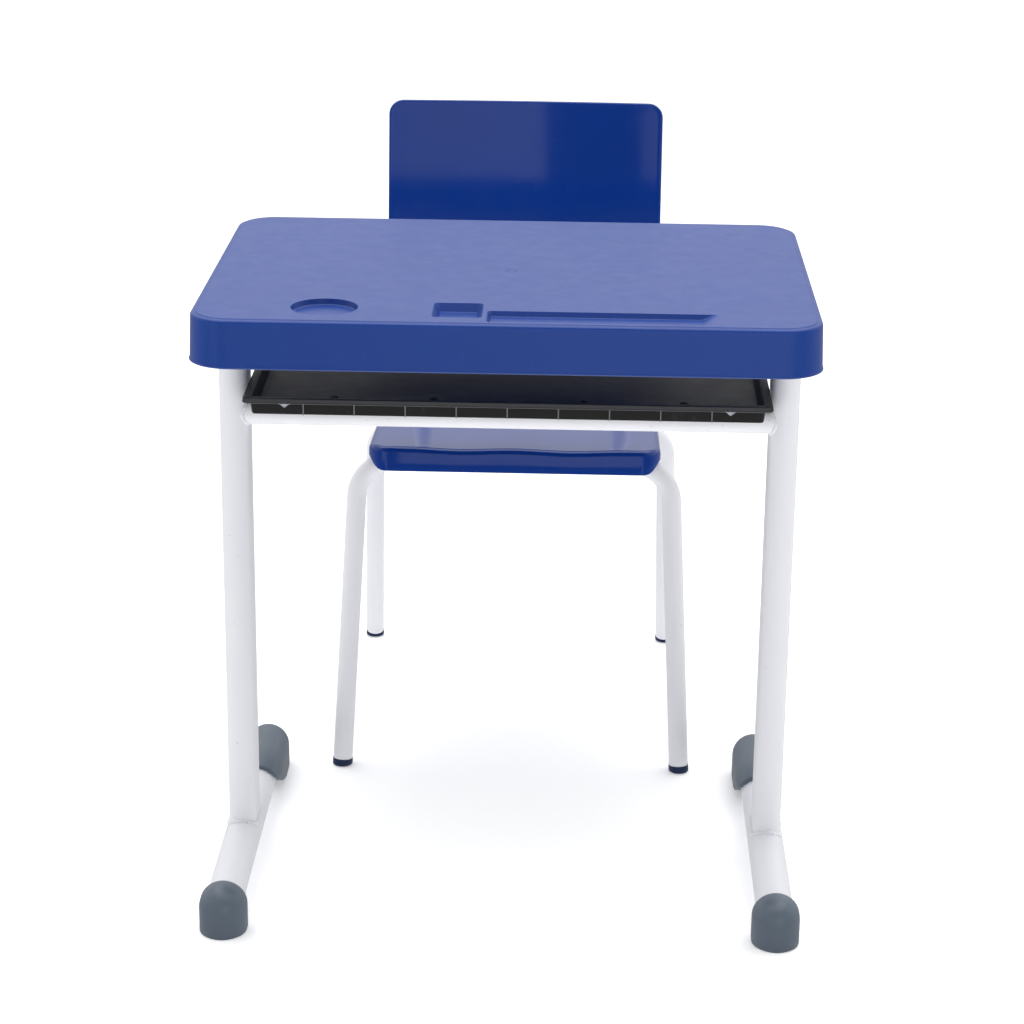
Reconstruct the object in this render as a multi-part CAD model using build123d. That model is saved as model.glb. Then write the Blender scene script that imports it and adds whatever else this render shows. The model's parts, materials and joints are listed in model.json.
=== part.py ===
from build123d import *
import math
import os

# Student desk and chair, one school size: a one-piece plastic desktop and a book tray on a
# welded tube desk frame, with its matching chair standing behind it on the floor.
# Millimetres. +X runs across the desk, +Y from the desk's front edge towards the chair, +Z up.
# Lengths along Y below are taken from the desktop's front edge; the finished set is then moved
# so that the middle of its footprint stands on the origin.

# ---------------------------------------------------------------- desktop
TOP_Z = 644.0                 # writing surface above the floor
TOP_WIDTH = 604.0
TOP_DEPTH = 450.0
TOP_CORNER = 40.0
APRON_HEIGHT = 48.0
APRON_DRAFT = 2.0             # degrees, the apron leans outwards to its lower edge
TOP_EDGE_ROUND = 4.5
APRON_WALL = 3.0
TOP_THICKNESS = 4.0
RIB_DEPTH = 4.0
RIB_THICKNESS = 2.0
RIB_PITCH = 75.0
RECESS_WALL = 2.6
RECESS_ROUND = 1.6

CUP_RADIUS = 32.5
CUP_DEPTH = 6.0
CUP_PLACE = (-175.0, 55.0)
ERASER_SIZE = (48.0, 55.0)
ERASER_DEPTH = 8.0
ERASER_PLACE = (-46.5, 51.5)
PEN_SIZE = (221.0, 42.0)
PEN_DEPTH = 5.0
PEN_PLACE = (92.5, 30.0)

# ---------------------------------------------------------------- desk frame
SIDE_X = 281.0                # centre line of each column and foot
COLUMN_WIDTH = 29.0
COLUMN_DEPTH = 58.0
COLUMN_Y = 194.6
FRAME_WALL = 1.5
FOOT_RADIUS = 19.05
FOOT_Z = 26.5
RAIL_RADIUS = 15.875          # the C-shaped tube under the desktop
BOSS_DROP = 6.0
RAIL_Z = TOP_Z - TOP_THICKNESS - BOSS_DROP - RAIL_RADIUS
RAIL_FRONT_Y = 104.0
RAIL_REAR_Y = 412.0
RAIL_BEND = 56.0
BAR_RADIUS = 12.7             # the cross bar under the tray
BAR_Y = 182.0
BAR_Z = 499.5

CAP_RADIUS = 24.25
CAP_BORE = FOOT_RADIUS + 0.1
HEEL_NOSE_Y = -17.0
HEEL_LIP_Y = 17.0
TOE_NOSE_Y = 438.3
TOE_LIP_Y = 303.0
TUBE_INTO_CAP = 9.0

# ---------------------------------------------------------------- desktop fasteners
SCREW_RADIUS = 2.95
SCREW_HEAD = (6.0, 3.8)
INSERT_RADIUS = 4.5
INSERT_LENGTH = 7.5
BOSS_RADIUS = 9.0
SCREW_PLACES = [(-150.0, RAIL_FRONT_Y), (150.0, RAIL_FRONT_Y)] + [
    (side * SIDE_X, y) for side in (-1, 1) for y in (262.0, 388.0)
]

# ---------------------------------------------------------------- book tray
TRAY_WIDTH = 530.0
TRAY_FRONT_Y = 116.0
TRAY_DEPTH = 300.0
TRAY_TOP_Z = 532.6
TRAY_FLANGE = 7.0
TRAY_WALL = 2.4
TRAY_LIP = 5.0
TRAY_BOTTOM_Z = 514.0
TRAY_RIB_PITCH = 51.0
TRAY_RIB_THICKNESS = 1.2
TRAY_RIB_DROP = TRAY_BOTTOM_Z - BAR_Z - BAR_RADIUS
NIB_X = 222.0
RIVET_RADIUS = 2.4
RIVET_HEAD = (4.6, 1.5)
HANGER_Y = 370.0
HANGER_WIDTH = 20.0
HANGER_PLATE = 2.5
HANGER_X = 268.2              # middle of the upright strip
HANGER_RIVET_X = 261.4

# ---------------------------------------------------------------- chair
CHAIR_TUBE = 11.1
CHAIR_WALL = 1.5
FRONT_FOOT = (195.7, 425.5)   # half spacing and place of the front feet on the floor
FRONT_CORNER = (176.6, 452.0, 364.0)
FRONT_BEND = 45.0
REAR_FOOT = (189.2, 840.9)
REAR_CORNER = (179.7, 742.0, 317.0)
REAR_BEND = 38.0
PLUG_HEIGHT = 8.0
PLUG_RADIUS = 11.5
PLUG_STEM = (9.4, 20.0)

SPINE_X = 119.0               # the two tubes that carry the seat and run up to the back
SPINE_CORNER_Y = 812.0
SPINE_BEND = 60.0
BACK_LEAN = 8.5               # degrees from upright
BACK_TOP_Z = 700.5

SEAT_WIDTH = 330.0
SEAT_DEPTH = 340.0
SEAT_FRONT_Y = 428.0
SEAT_FRONT_Z = 386.5
SEAT_WALL = 4.5
SEAT_LIP = 27.5
SEAT_SKIRT = 14.0
SEAT_CORNER = 28.0
SEAT_TUBE_GAP = 0.5           # clearance of the seat's rear edge over the two tubes
SEAT_SCREW_Y = (95.0, 270.0)  # along the seat from its front edge
SEAT_SCREW_RADIUS = 2.4
SEAT_SCREW_HEAD = (4.6, 2.6)
SLOT_WIDTH = 0.9              # of the cross slots in the chair's screws

BACK_WIDTH = 334.0
BACK_HEIGHT = 195.0
BACK_WALL = 4.5
BACK_CURVE = 500.0
BACK_TOP_CORNER = 17.0
BACK_LOW_CORNER = 30.0
SLEEVE_RADIUS = 13.8
SLEEVE_BORE = CHAIR_TUBE + 0.15
SLEEVE_LOW = 22.0
SLEEVE_HIGH = 181.0
TUBE_BELOW_BACK = 19.0        # the tubes end this far below the back's upper edge
BACK_SCREW_RADIUS = 2.4
BACK_SCREW_HEAD = (4.4, 2.4)
BACK_SCREW_SEAT = SLEEVE_RADIUS - 0.8

# Slope of the seat tubes: level with the front cross tube, resting on the rear one.
SPINE_RISE = (2 * CHAIR_TUBE + 0.12)
SPINE_SLOPE = (FRONT_CORNER[2] - REAR_CORNER[2] - SPINE_RISE) / (REAR_CORNER[1] - FRONT_CORNER[1])
SEAT_ANGLE = math.degrees(math.atan(SPINE_SLOPE))

# Middle of the whole footprint along Y, from the toe of the heel caps to the chair's back.
FOOTPRINT_MIDDLE_Y = 430.72


# ---------------------------------------------------------------- shared helpers
def rod_along_x(radius, x0, x1, y, z):
    """A solid cylinder along X."""
    return Pos((x0 + x1) / 2, y, z) * Rot(0, 90, 0) * Cylinder(radius, x1 - x0)


def rod_along_y(radius, y0, y1, x, z):
    """A solid cylinder along Y."""
    return Pos(x, (y0 + y1) / 2, z) * Rot(90, 0, 0) * Cylinder(radius, y1 - y0)


def rod_along_z(radius, z0, z1, x, y):
    """A solid cylinder along Z."""
    return Pos(x, y, (z0 + z1) / 2) * Cylinder(radius, z1 - z0)


def block(x0, x1, y0, y1, z0, z1):
    """A box between two corners."""
    return Pos((x0 + x1) / 2, (y0 + y1) / 2, (z0 + z1) / 2) * Box(x1 - x0, y1 - y0, z1 - z0)


def bent_tube(points, bend, radius, wall):
    """A round tube along straight runs joined by arcs of one bend radius."""
    path = FilletPolyline(*points, radius=bend) if len(points) > 2 else Line(*points)
    start = Plane(origin=path @ 0, z_dir=path % 0)
    return sweep(start * (Circle(radius) - Circle(radius - wall)), path=path)


def bent_rod(points, bend, radius):
    """The full outside of a bent tube, used to cope other tubes against it."""
    path = FilletPolyline(*points, radius=bend) if len(points) > 2 else Line(*points)
    start = Plane(origin=path @ 0, z_dir=path % 0)
    return sweep(start * Circle(radius), path=path)


# ---------------------------------------------------------------- desktop
def plan_block(width, depth, corner, y_middle, z_top, height, taper):
    """A rounded-rectangle block hanging down from z_top, with drafted sides."""
    outline = Pos(0, y_middle, z_top) * RectangleRounded(width, depth, corner)
    return extrude(outline, amount=-height, taper=taper)


def recess(outline, place, depth):
    """The hollow of a recess in the writing surface, with sloping sides and soft edges."""
    hollow = extrude(Pos(place[0], place[1], TOP_Z) * outline, amount=-depth, taper=18)
    floor_edges = hollow.faces().sort_by(Axis.Z)[0].edges()
    hollow = fillet(floor_edges, RECESS_ROUND)
    mouth = Pos(place[0], place[1], TOP_Z - 0.01) * outline
    return hollow + extrude(mouth, amount=1.0)


def recess_cups():
    """Outline, place and depth of the cup, eraser and pen recesses."""
    cup = Circle(CUP_RADIUS)
    eraser = RectangleRounded(ERASER_SIZE[0], ERASER_SIZE[1], 5)
    pen = RectangleRounded(PEN_SIZE[0], PEN_SIZE[1], 5)
    return [(cup, CUP_PLACE, CUP_DEPTH), (eraser, ERASER_PLACE, ERASER_DEPTH),
            (pen, PEN_PLACE, PEN_DEPTH)]


def underside_ribs():
    """The crossed ribs that stiffen the top; the recess hollows are taken out of them later."""
    low = TOP_Z - TOP_THICKNESS - RIB_DEPTH
    high = TOP_Z - TOP_THICKNESS + 0.5
    half = TOP_WIDTH / 2 - APRON_WALL - 0.5
    ribs = []
    for step in range(-3, 4):
        x = step * RIB_PITCH
        ribs.append(block(x - RIB_THICKNESS / 2, x + RIB_THICKNESS / 2,
                          APRON_WALL + 0.5, TOP_DEPTH - APRON_WALL - 0.5, low, high))
    for step in range(1, 6):
        y = step * RIB_PITCH
        ribs.append(block(-half, half, y - RIB_THICKNESS / 2, y + RIB_THICKNESS / 2, low, high))
    return ribs


def desktop():
    """The moulded top: plate, drafted apron, recesses, ribs and screw bosses."""
    middle = TOP_DEPTH / 2
    outer = plan_block(TOP_WIDTH, TOP_DEPTH, TOP_CORNER, middle, TOP_Z, APRON_HEIGHT, -APRON_DRAFT)
    outer = fillet(outer.faces().sort_by(Axis.Z)[-1].edges(), TOP_EDGE_ROUND)
    outer = fillet(outer.faces().sort_by(Axis.Z)[0].edges(), 1.0)
    cavity = plan_block(TOP_WIDTH - 2 * APRON_WALL, TOP_DEPTH - 2 * APRON_WALL,
                        TOP_CORNER - APRON_WALL, middle, TOP_Z - TOP_THICKNESS,
                        APRON_HEIGHT - TOP_THICKNESS + 1, -APRON_DRAFT)
    shell = outer - cavity
    for rib in underside_ribs():
        shell += rib
    for outline, place, depth in recess_cups():
        under = offset(outline, amount=RECESS_WALL)
        shell += extrude(Pos(place[0], place[1], TOP_Z - 1) * under, amount=-(depth + RECESS_WALL - 1))
    for x, y in SCREW_PLACES:
        boss_low = TOP_Z - TOP_THICKNESS - BOSS_DROP
        shell += rod_along_z(BOSS_RADIUS, boss_low, TOP_Z - TOP_THICKNESS + 0.5, x, y)
        shell -= rod_along_z(INSERT_RADIUS, boss_low - 1, boss_low + INSERT_LENGTH, x, y)
    for outline, place, depth in recess_cups():
        shell -= recess(outline, place, depth)
    return shell


def desktop_inserts():
    """Knurled brass nuts pressed into the screw bosses."""
    low = TOP_Z - TOP_THICKNESS - BOSS_DROP
    ring = rod_along_z(INSERT_RADIUS, 0, INSERT_LENGTH, 0, 0)
    ring -= rod_along_z(SCREW_RADIUS + 0.05, -1, INSERT_LENGTH + 1, 0, 0)
    return [Pos(x, y, low) * ring for x, y in SCREW_PLACES]


def desktop_screws():
    """Pan-head machine screws driven up through the rail tube."""
    rail_low = RAIL_Z - RAIL_RADIUS
    tip = TOP_Z - TOP_THICKNESS - BOSS_DROP + INSERT_LENGTH - 0.5
    head = rod_along_z(SCREW_HEAD[0], rail_low - SCREW_HEAD[1], rail_low, 0, 0)
    head = fillet(head.faces().sort_by(Axis.Z)[0].edges(), 1.6)
    slots = Pos(0, 0, rail_low - SCREW_HEAD[1]) * (Box(6, 1.2, 3) + Box(1.2, 6, 3))
    screw = head + rod_along_z(SCREW_RADIUS, rail_low - 0.5, tip, 0, 0) - slots
    return [Pos(x, y, 0) * screw for x, y in SCREW_PLACES]


# ---------------------------------------------------------------- desk frame
RAIL_PATH = [(-SIDE_X, RAIL_REAR_Y, RAIL_Z), (-SIDE_X, RAIL_FRONT_Y, RAIL_Z),
             (SIDE_X, RAIL_FRONT_Y, RAIL_Z), (SIDE_X, RAIL_REAR_Y, RAIL_Z)]


def top_rail():
    """The C-shaped tube that carries the desktop, open towards the chair."""
    tube = bent_tube(RAIL_PATH, RAIL_BEND, RAIL_RADIUS, FRAME_WALL)
    for x, y in SCREW_PLACES:
        tube -= rod_along_z(SCREW_RADIUS + 0.35, RAIL_Z - 20, RAIL_Z + 20, x, y)
    return tube


def top_rail_plug(side):
    """Ribbed plastic plug in one open end of the top rail."""
    x = side * SIDE_X
    disc = rod_along_y(RAIL_RADIUS, RAIL_REAR_Y, RAIL_REAR_Y + 3.0, x, RAIL_Z)
    disc = fillet(disc.faces().sort_by(Axis.Y)[-1].edges(), 1.2)
    stem = rod_along_y(RAIL_RADIUS - FRAME_WALL - 0.1, RAIL_REAR_Y - 16, RAIL_REAR_Y + 0.5, x, RAIL_Z)
    stem -= rod_along_y(RAIL_RADIUS - FRAME_WALL - 2.5, RAIL_REAR_Y - 17, RAIL_REAR_Y - 1, x, RAIL_Z)
    return disc + stem


def column_solid(side):
    """The full outside of one oblong column."""
    outline = Pos(side * SIDE_X, COLUMN_Y, FOOT_Z) * Rot(0, 0, 90) * SlotOverall(COLUMN_DEPTH, COLUMN_WIDTH)
    return extrude(outline, amount=RAIL_Z - FOOT_Z)


def column(side):
    """One oblong column, coped over the foot tube and under the top rail."""
    inner = Pos(side * SIDE_X, COLUMN_Y, FOOT_Z) * Rot(0, 0, 90) * SlotOverall(
        COLUMN_DEPTH - 2 * FRAME_WALL, COLUMN_WIDTH - 2 * FRAME_WALL)
    tube = column_solid(side) - extrude(inner, amount=RAIL_Z - FOOT_Z)
    x = side * SIDE_X
    tube -= rod_along_y(FOOT_RADIUS, COLUMN_Y - 60, COLUMN_Y + 60, x, FOOT_Z)
    tube -= rod_along_y(RAIL_RADIUS, COLUMN_Y - 34, COLUMN_Y + 60, x, RAIL_Z)
    return tube


def foot_tube(side):
    """One round foot tube, from cap to cap."""
    y0 = HEEL_NOSE_Y + CAP_RADIUS - TUBE_INTO_CAP
    y1 = TOE_NOSE_Y - CAP_RADIUS + TUBE_INTO_CAP
    outer = rod_along_y(FOOT_RADIUS, y0, y1, side * SIDE_X, FOOT_Z)
    return outer - rod_along_y(FOOT_RADIUS - FRAME_WALL, y0 - 1, y1 + 1, side * SIDE_X, FOOT_Z)


def cap_body(y_nose, y_lip):
    """A hood over a tube end: round nose, arched top, upright sides and a flat sole."""
    inward = 1 if y_lip > y_nose else -1
    y_round = y_nose + inward * CAP_RADIUS
    y0, y1 = sorted((y_round, y_lip))
    nose = Pos(0, y_round, FOOT_Z) * Sphere(CAP_RADIUS)
    nose += rod_along_z(CAP_RADIUS, 0, FOOT_Z, 0, y_round)
    hood = rod_along_y(CAP_RADIUS, y0, y1, 0, FOOT_Z) + block(-CAP_RADIUS, CAP_RADIUS, y0, y1, 0, FOOT_Z)
    body = nose + hood
    bore_end = y_round - inward * TUBE_INTO_CAP
    b0, b1 = sorted((bore_end, y_lip + inward * 5))
    beyond0, beyond1 = sorted((y_lip, y_lip + inward * 2 * CAP_RADIUS))
    body -= block(-CAP_RADIUS - 5, CAP_RADIUS + 5, beyond0, beyond1, -5, 2 * CAP_RADIUS + 10)
    return body - rod_along_y(CAP_BORE, b0, b1, 0, FOOT_Z)


def heel_cap(side):
    """The short cap on the foot's front end."""
    return Pos(side * SIDE_X, 0, 0) * cap_body(HEEL_NOSE_Y, HEEL_LIP_Y)


def toe_cap(side):
    """The long cap on the chair side, whose hood keeps shoes off the tube."""
    lip_low = (TOE_LIP_Y + 8, 33)
    sole_start = (390, 0)
    with BuildSketch(Plane.YZ) as scoop:
        with BuildLine():
            Polyline((TOE_LIP_Y - 12, 62), (TOE_LIP_Y, 62), (TOE_LIP_Y, 52), lip_low)
            ThreePointArc(lip_low, (346, 13), sole_start)
            Polyline(sole_start, (390, -5), (TOE_LIP_Y - 12, -5), (TOE_LIP_Y - 12, 62))
        make_face()
    cut = extrude(scoop.sketch, amount=CAP_RADIUS + 5, both=True)
    return Pos(side * SIDE_X, 0, 0) * (cap_body(TOE_NOSE_Y, TOE_LIP_Y - 3) - cut)


def cross_bar():
    """The round bar under the tray, coped between the two columns."""
    bar = rod_along_x(BAR_RADIUS, -SIDE_X, SIDE_X, BAR_Y, BAR_Z)
    bar -= rod_along_x(BAR_RADIUS - FRAME_WALL, -SIDE_X, SIDE_X, BAR_Y, BAR_Z)
    for side in (-1, 1):
        bar -= column_solid(side)
    for x, y, z in bar_rivet_places():
        bar -= rod_along_z(RIVET_RADIUS + 0.1, z - 12, z + 1, x, y)
    return bar


# ---------------------------------------------------------------- book tray
def tray_ring(inset, z0, z1):
    """A rounded block of the tray's outline, pulled in by inset."""
    outline = Pos(0, TRAY_FRONT_Y + TRAY_DEPTH / 2, z0) * RectangleRounded(
        TRAY_WIDTH - 2 * inset, TRAY_DEPTH - 2 * inset, 8)
    return extrude(outline, amount=z1 - z0)


def tray_basin(inset, z0, z1):
    """A block that narrows slightly towards the tray's floor."""
    outline = Pos(0, TRAY_FRONT_Y + TRAY_DEPTH / 2, z1) * RectangleRounded(
        TRAY_WIDTH - 2 * inset, TRAY_DEPTH - 2 * inset, 8)
    return extrude(outline, amount=-(z1 - z0), taper=6)


def book_tray():
    """The moulded tray: rolled rim, drafted walls, ribs outside and two small nibs."""
    flange_low = TRAY_TOP_Z - TRAY_WALL
    tray = tray_ring(0, TRAY_TOP_Z - TRAY_LIP, TRAY_TOP_Z)
    tray -= tray_ring(2.0, TRAY_TOP_Z - TRAY_LIP - 1, flange_low)
    tray += tray_basin(TRAY_FLANGE, TRAY_BOTTOM_Z, TRAY_TOP_Z - 0.5)
    y_front = TRAY_FRONT_Y + TRAY_FLANGE
    y_rear = TRAY_FRONT_Y + TRAY_DEPTH - TRAY_FLANGE
    half = TRAY_RIB_THICKNESS / 2
    for step in range(-4, 5):
        x = step * TRAY_RIB_PITCH
        tray += block(x - half, x + half, y_front + 1, y_rear - 1,
                      TRAY_BOTTOM_Z - TRAY_RIB_DROP, TRAY_TOP_Z - 3)
    tray -= tray_basin(TRAY_FLANGE + TRAY_WALL, TRAY_BOTTOM_Z + TRAY_WALL, TRAY_TOP_Z + 2)
    for side in (-1, 1):
        x = side * NIB_X
        with BuildSketch(Plane.XZ) as nib:
            with Locations((x, TRAY_TOP_Z - TRAY_LIP)):
                Polygon((-5, 0.5), (0, -3.2), (5, 0.5), align=None)
        tray += extrude(Pos(0, TRAY_FRONT_Y, 0) * nib.sketch, amount=-2.0)
        x0, x1 = sorted((side * (TRAY_WIDTH / 2 - 4.5), side * (TRAY_WIDTH / 2 + 1)))
        tray -= block(x0, x1, HANGER_Y - HANGER_WIDTH / 2 - 2, HANGER_Y + HANGER_WIDTH / 2 + 2,
                      TRAY_TOP_Z - TRAY_LIP - 1, flange_low)
        tray -= rod_along_z(RIVET_RADIUS + 0.1, flange_low - 2, TRAY_TOP_Z + 1,
                            side * HANGER_RIVET_X, HANGER_Y)
    for x, y, z in bar_rivet_places():
        tray -= rod_along_z(RIVET_RADIUS + 0.1, TRAY_BOTTOM_Z - 3, TRAY_BOTTOM_Z + TRAY_WALL + 1, x, y)
    return tray


def bar_rivet_places():
    """Where the tray floor is riveted down to the cross bar."""
    return [(x, BAR_Y, BAR_Z + BAR_RADIUS) for x in (-178.5, -76.5, 76.5, 178.5)]


def rivet(z_seat, length):
    """A domed pull rivet standing on z_seat, with its set tail below."""
    dome = rod_along_z(RIVET_HEAD[0], z_seat, z_seat + RIVET_HEAD[1], 0, 0)
    dome = fillet(dome.faces().sort_by(Axis.Z)[-1].edges(), 1.2)
    shank = rod_along_z(RIVET_RADIUS, z_seat - length, z_seat + 0.5, 0, 0)
    return dome + shank + rod_along_z(RIVET_RADIUS + 1.0, z_seat - length - 2.2, z_seat - length, 0, 0)


def tray_bar_rivets():
    """Rivets through the tray floor into the top of the cross bar."""
    floor_z = TRAY_BOTTOM_Z + TRAY_WALL
    length = floor_z - (BAR_Z + BAR_RADIUS - FRAME_WALL) + 0.4
    one = rivet(floor_z, length)
    return [Pos(x, y, 0) * one for x, y, z in bar_rivet_places()]


def tray_hanger(side):
    """Bent steel strip from the top rail down to the tray's side rim."""
    leg_top = TRAY_TOP_Z - TRAY_WALL
    leg_low = leg_top - HANGER_PLATE
    out_x = HANGER_X + HANGER_PLATE / 2
    in_x = HANGER_X - HANGER_PLATE / 2
    y0 = HANGER_Y - HANGER_WIDTH / 2
    y1 = HANGER_Y + HANGER_WIDTH / 2
    strip = block(in_x, out_x, y0, y1, leg_low, RAIL_Z)
    strip += block(TRAY_WIDTH / 2 - TRAY_FLANGE + 0.6, out_x, y0, y1, leg_low, leg_top)
    corner = strip.edges().filter_by(Axis.Y).sort_by(lambda e: e.center().Z - e.center().X)[0]
    strip = fillet(corner, 2.4)
    strip -= rod_along_y(RAIL_RADIUS, y0 - 5, y1 + 5, SIDE_X, RAIL_Z)
    strip -= rod_along_z(RIVET_RADIUS + 0.1, leg_low - 2, leg_top + 2, HANGER_RIVET_X, HANGER_Y)
    return strip if side > 0 else mirror(strip, about=Plane.YZ)


def hanger_rivets():
    """Rivets through the tray rim into the hangers."""
    one = rivet(TRAY_TOP_Z, TRAY_WALL + HANGER_PLATE + 0.1)
    return [Pos(side * HANGER_RIVET_X, HANGER_Y, 0) * one for side in (-1, 1)]


# ---------------------------------------------------------------- chair frame
def leg_point(foot, corner, side, height):
    """The point of a leg's centre line at a height above the floor."""
    share = height / corner[2]
    return (side * (foot[0] + (corner[0] - foot[0]) * share),
            foot[1] + (corner[1] - foot[1]) * share, height)


def leg_path(foot, corner):
    """Centre line of a leg frame: up one leg, across under the seat and down the other."""
    return [leg_point(foot, corner, -1, PLUG_HEIGHT), leg_point(foot, corner, -1, corner[2]),
            leg_point(foot, corner, 1, corner[2]), leg_point(foot, corner, 1, PLUG_HEIGHT)]


def front_leg_frame():
    """The front pair of legs, one bent tube."""
    return bent_tube(leg_path(FRONT_FOOT, FRONT_CORNER), FRONT_BEND, CHAIR_TUBE, CHAIR_WALL)


def rear_leg_frame():
    """The rear pair of legs, one bent tube."""
    return bent_tube(leg_path(REAR_FOOT, REAR_CORNER), REAR_BEND, CHAIR_TUBE, CHAIR_WALL)


def leg_plug(foot, corner, side):
    """Plastic plug in a leg's lower end, cut flat where it stands on the floor."""
    end = Vector(*leg_point(foot, corner, side, PLUG_HEIGHT))
    up = (Vector(*leg_point(foot, corner, side, corner[2])) - end).normalized()
    plane = Plane(origin=end, z_dir=up)
    body = extrude(plane * Circle(PLUG_RADIUS), amount=-(PLUG_HEIGHT + 4))
    body += extrude(plane * Circle(PLUG_STEM[0]), amount=PLUG_STEM[1])
    body -= Pos(end.X, end.Y, -25) * Box(80, 80, 50)
    return fillet(body.faces().sort_by(Axis.Z)[0].edges(), 1.8)


def spine_path(side):
    """Centre line of a seat-and-back tube: along under the seat, then up behind it."""
    x = side * SPINE_X
    corner_z = FRONT_CORNER[2] - (SPINE_CORNER_Y - FRONT_CORNER[1]) * SPINE_SLOPE
    top_z = BACK_TOP_Z - TUBE_BELOW_BACK
    top_y = SPINE_CORNER_Y + (top_z - corner_z) * math.tan(math.radians(BACK_LEAN))
    return [(x, FRONT_CORNER[1], FRONT_CORNER[2]), (x, SPINE_CORNER_Y, corner_z), (x, top_y, top_z)]


def seat_plane():
    """Seat frame: origin on the front edge, Y back along the seat, Z square to it."""
    return Plane(origin=(0, SEAT_FRONT_Y, SEAT_FRONT_Z), x_dir=(1, 0, 0),
                 z_dir=(0, math.sin(math.radians(SEAT_ANGLE)), math.cos(math.radians(SEAT_ANGLE))))


def back_plane():
    """Back frame: origin on the tube lines at the back's lower edge, Z up along the tubes."""
    path = spine_path(1)
    lean = math.radians(BACK_LEAN)
    low_z = BACK_TOP_Z - BACK_HEIGHT * math.cos(lean)
    low_y = path[2][1] - (path[2][2] - low_z) * math.tan(lean)
    return Plane(origin=(0, low_y, low_z), x_dir=(1, 0, 0), z_dir=(0, math.sin(lean), math.cos(lean)))


def spine_tube(side):
    """One seat-and-back tube, coped against the front cross tube, with its screw holes."""
    tube = bent_tube(spine_path(side), SPINE_BEND, CHAIR_TUBE, CHAIR_WALL)
    tube -= rod_along_x(CHAIR_TUBE, side * SPINE_X - 30, side * SPINE_X + 30,
                        FRONT_CORNER[1], FRONT_CORNER[2])
    tube -= block(side * SPINE_X - 30, side * SPINE_X + 30, FRONT_CORNER[1] - 30, FRONT_CORNER[1],
                  FRONT_CORNER[2] - 30, FRONT_CORNER[2] + 30)
    for hole in seat_screw_rods(SEAT_SCREW_RADIUS + 0.3, 60, -40):
        tube -= hole
    for hole in back_screw_rods(BACK_SCREW_RADIUS, 12, 2):
        tube -= hole
    return tube


# ---------------------------------------------------------------- seat and its screws
def seat_block(inset, top_drop, lip, skirt):
    """The seat's outline as a solid: rounded corners, deep front lip, shallow sides."""
    width = SEAT_WIDTH - 2 * inset
    y0 = inset
    y1 = SEAT_DEPTH - inset
    top = -top_drop
    with BuildSketch(Plane.YZ) as side_view:
        with BuildLine():
            Polyline((y0 + 18, -skirt), (y0 + 12, -lip), (y0, -lip), (y0, top), (y1, top),
                     (y1, -skirt), (y0 + 18, -skirt))
        make_face()
    profile = extrude(side_view.sketch, amount=width / 2, both=True)
    corner = SEAT_CORNER - inset
    plan = Pos(0, (y0 + y1) / 2, -40) * extrude(RectangleRounded(width, y1 - y0, corner), amount=60)
    front_view = Pos(0, SEAT_DEPTH / 2, 10) * Rot(90, 0, 0) * Pos(0, -(lip + 10) / 2, -SEAT_DEPTH) * extrude(
        RectangleRounded(width, lip + 10 + 0.001, 18), amount=2 * SEAT_DEPTH)
    return profile & plan & (front_view + Pos(0, SEAT_DEPTH / 2, 5) * Box(width, SEAT_DEPTH, 36))


def seat_shell():
    """The moulded seat with its turned-down edge and four screw bosses."""
    outer = seat_block(0, 0, SEAT_LIP, SEAT_SKIRT)
    top_edges = outer.faces().sort_by(Axis.Z)[-1].edges()
    outer = fillet(top_edges, 5.0)
    inner = seat_block(SEAT_WALL, SEAT_WALL, SEAT_LIP + 1, SEAT_SKIRT + 1)
    shell = outer - inner
    boss_low = -seat_tube_drop()
    for side in (-1, 1):
        for y in SEAT_SCREW_Y:
            shell += rod_along_z(7.0, boss_low, -SEAT_WALL + 0.5, side * SPINE_X, y)
            shell -= rod_along_z(SEAT_SCREW_RADIUS, boss_low - 1, boss_low + 6.0, side * SPINE_X, y)
    seat = seat_plane() * shell
    for side in (-1, 1):
        seat -= bent_rod(spine_path(side), SPINE_BEND, CHAIR_TUBE + SEAT_TUBE_GAP)
    return seat


def seat_tube_drop():
    """How far the top of the seat tubes lies below the seat surface, square to it."""
    slope = math.radians(SEAT_ANGLE)
    rise = SEAT_FRONT_Z - FRONT_CORNER[2] + (FRONT_CORNER[1] - SEAT_FRONT_Y) * -math.tan(slope)
    return rise * math.cos(slope) - CHAIR_TUBE


def seat_screw_rods(radius, length, z_start):
    """Rods on the seat screw axes, square to the seat, starting at z_start in its frame."""
    return [seat_plane() * rod_along_z(radius, z_start, z_start + length, side * SPINE_X, y)
            for side in (-1, 1) for y in SEAT_SCREW_Y]


def seat_screws():
    """Screws up through the seat tubes into the seat's bosses."""
    drop = seat_tube_drop()
    under = -drop - 2 * CHAIR_TUBE
    radius, rise = SEAT_SCREW_HEAD
    head = rod_along_z(radius, under - rise, under, 0, 0)
    head = fillet(head.faces().sort_by(Axis.Z)[0].edges(), 1.2)
    slots = Pos(0, 0, under - rise) * (Box(radius, SLOT_WIDTH, rise) + Box(SLOT_WIDTH, radius, rise))
    screw = head + rod_along_z(SEAT_SCREW_RADIUS - 0.05, under - 0.5, -drop + 5.5, 0, 0) - slots
    return [seat_plane() * Pos(side * SPINE_X, y, 0) * screw for side in (-1, 1) for y in SEAT_SCREW_Y]


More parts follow.
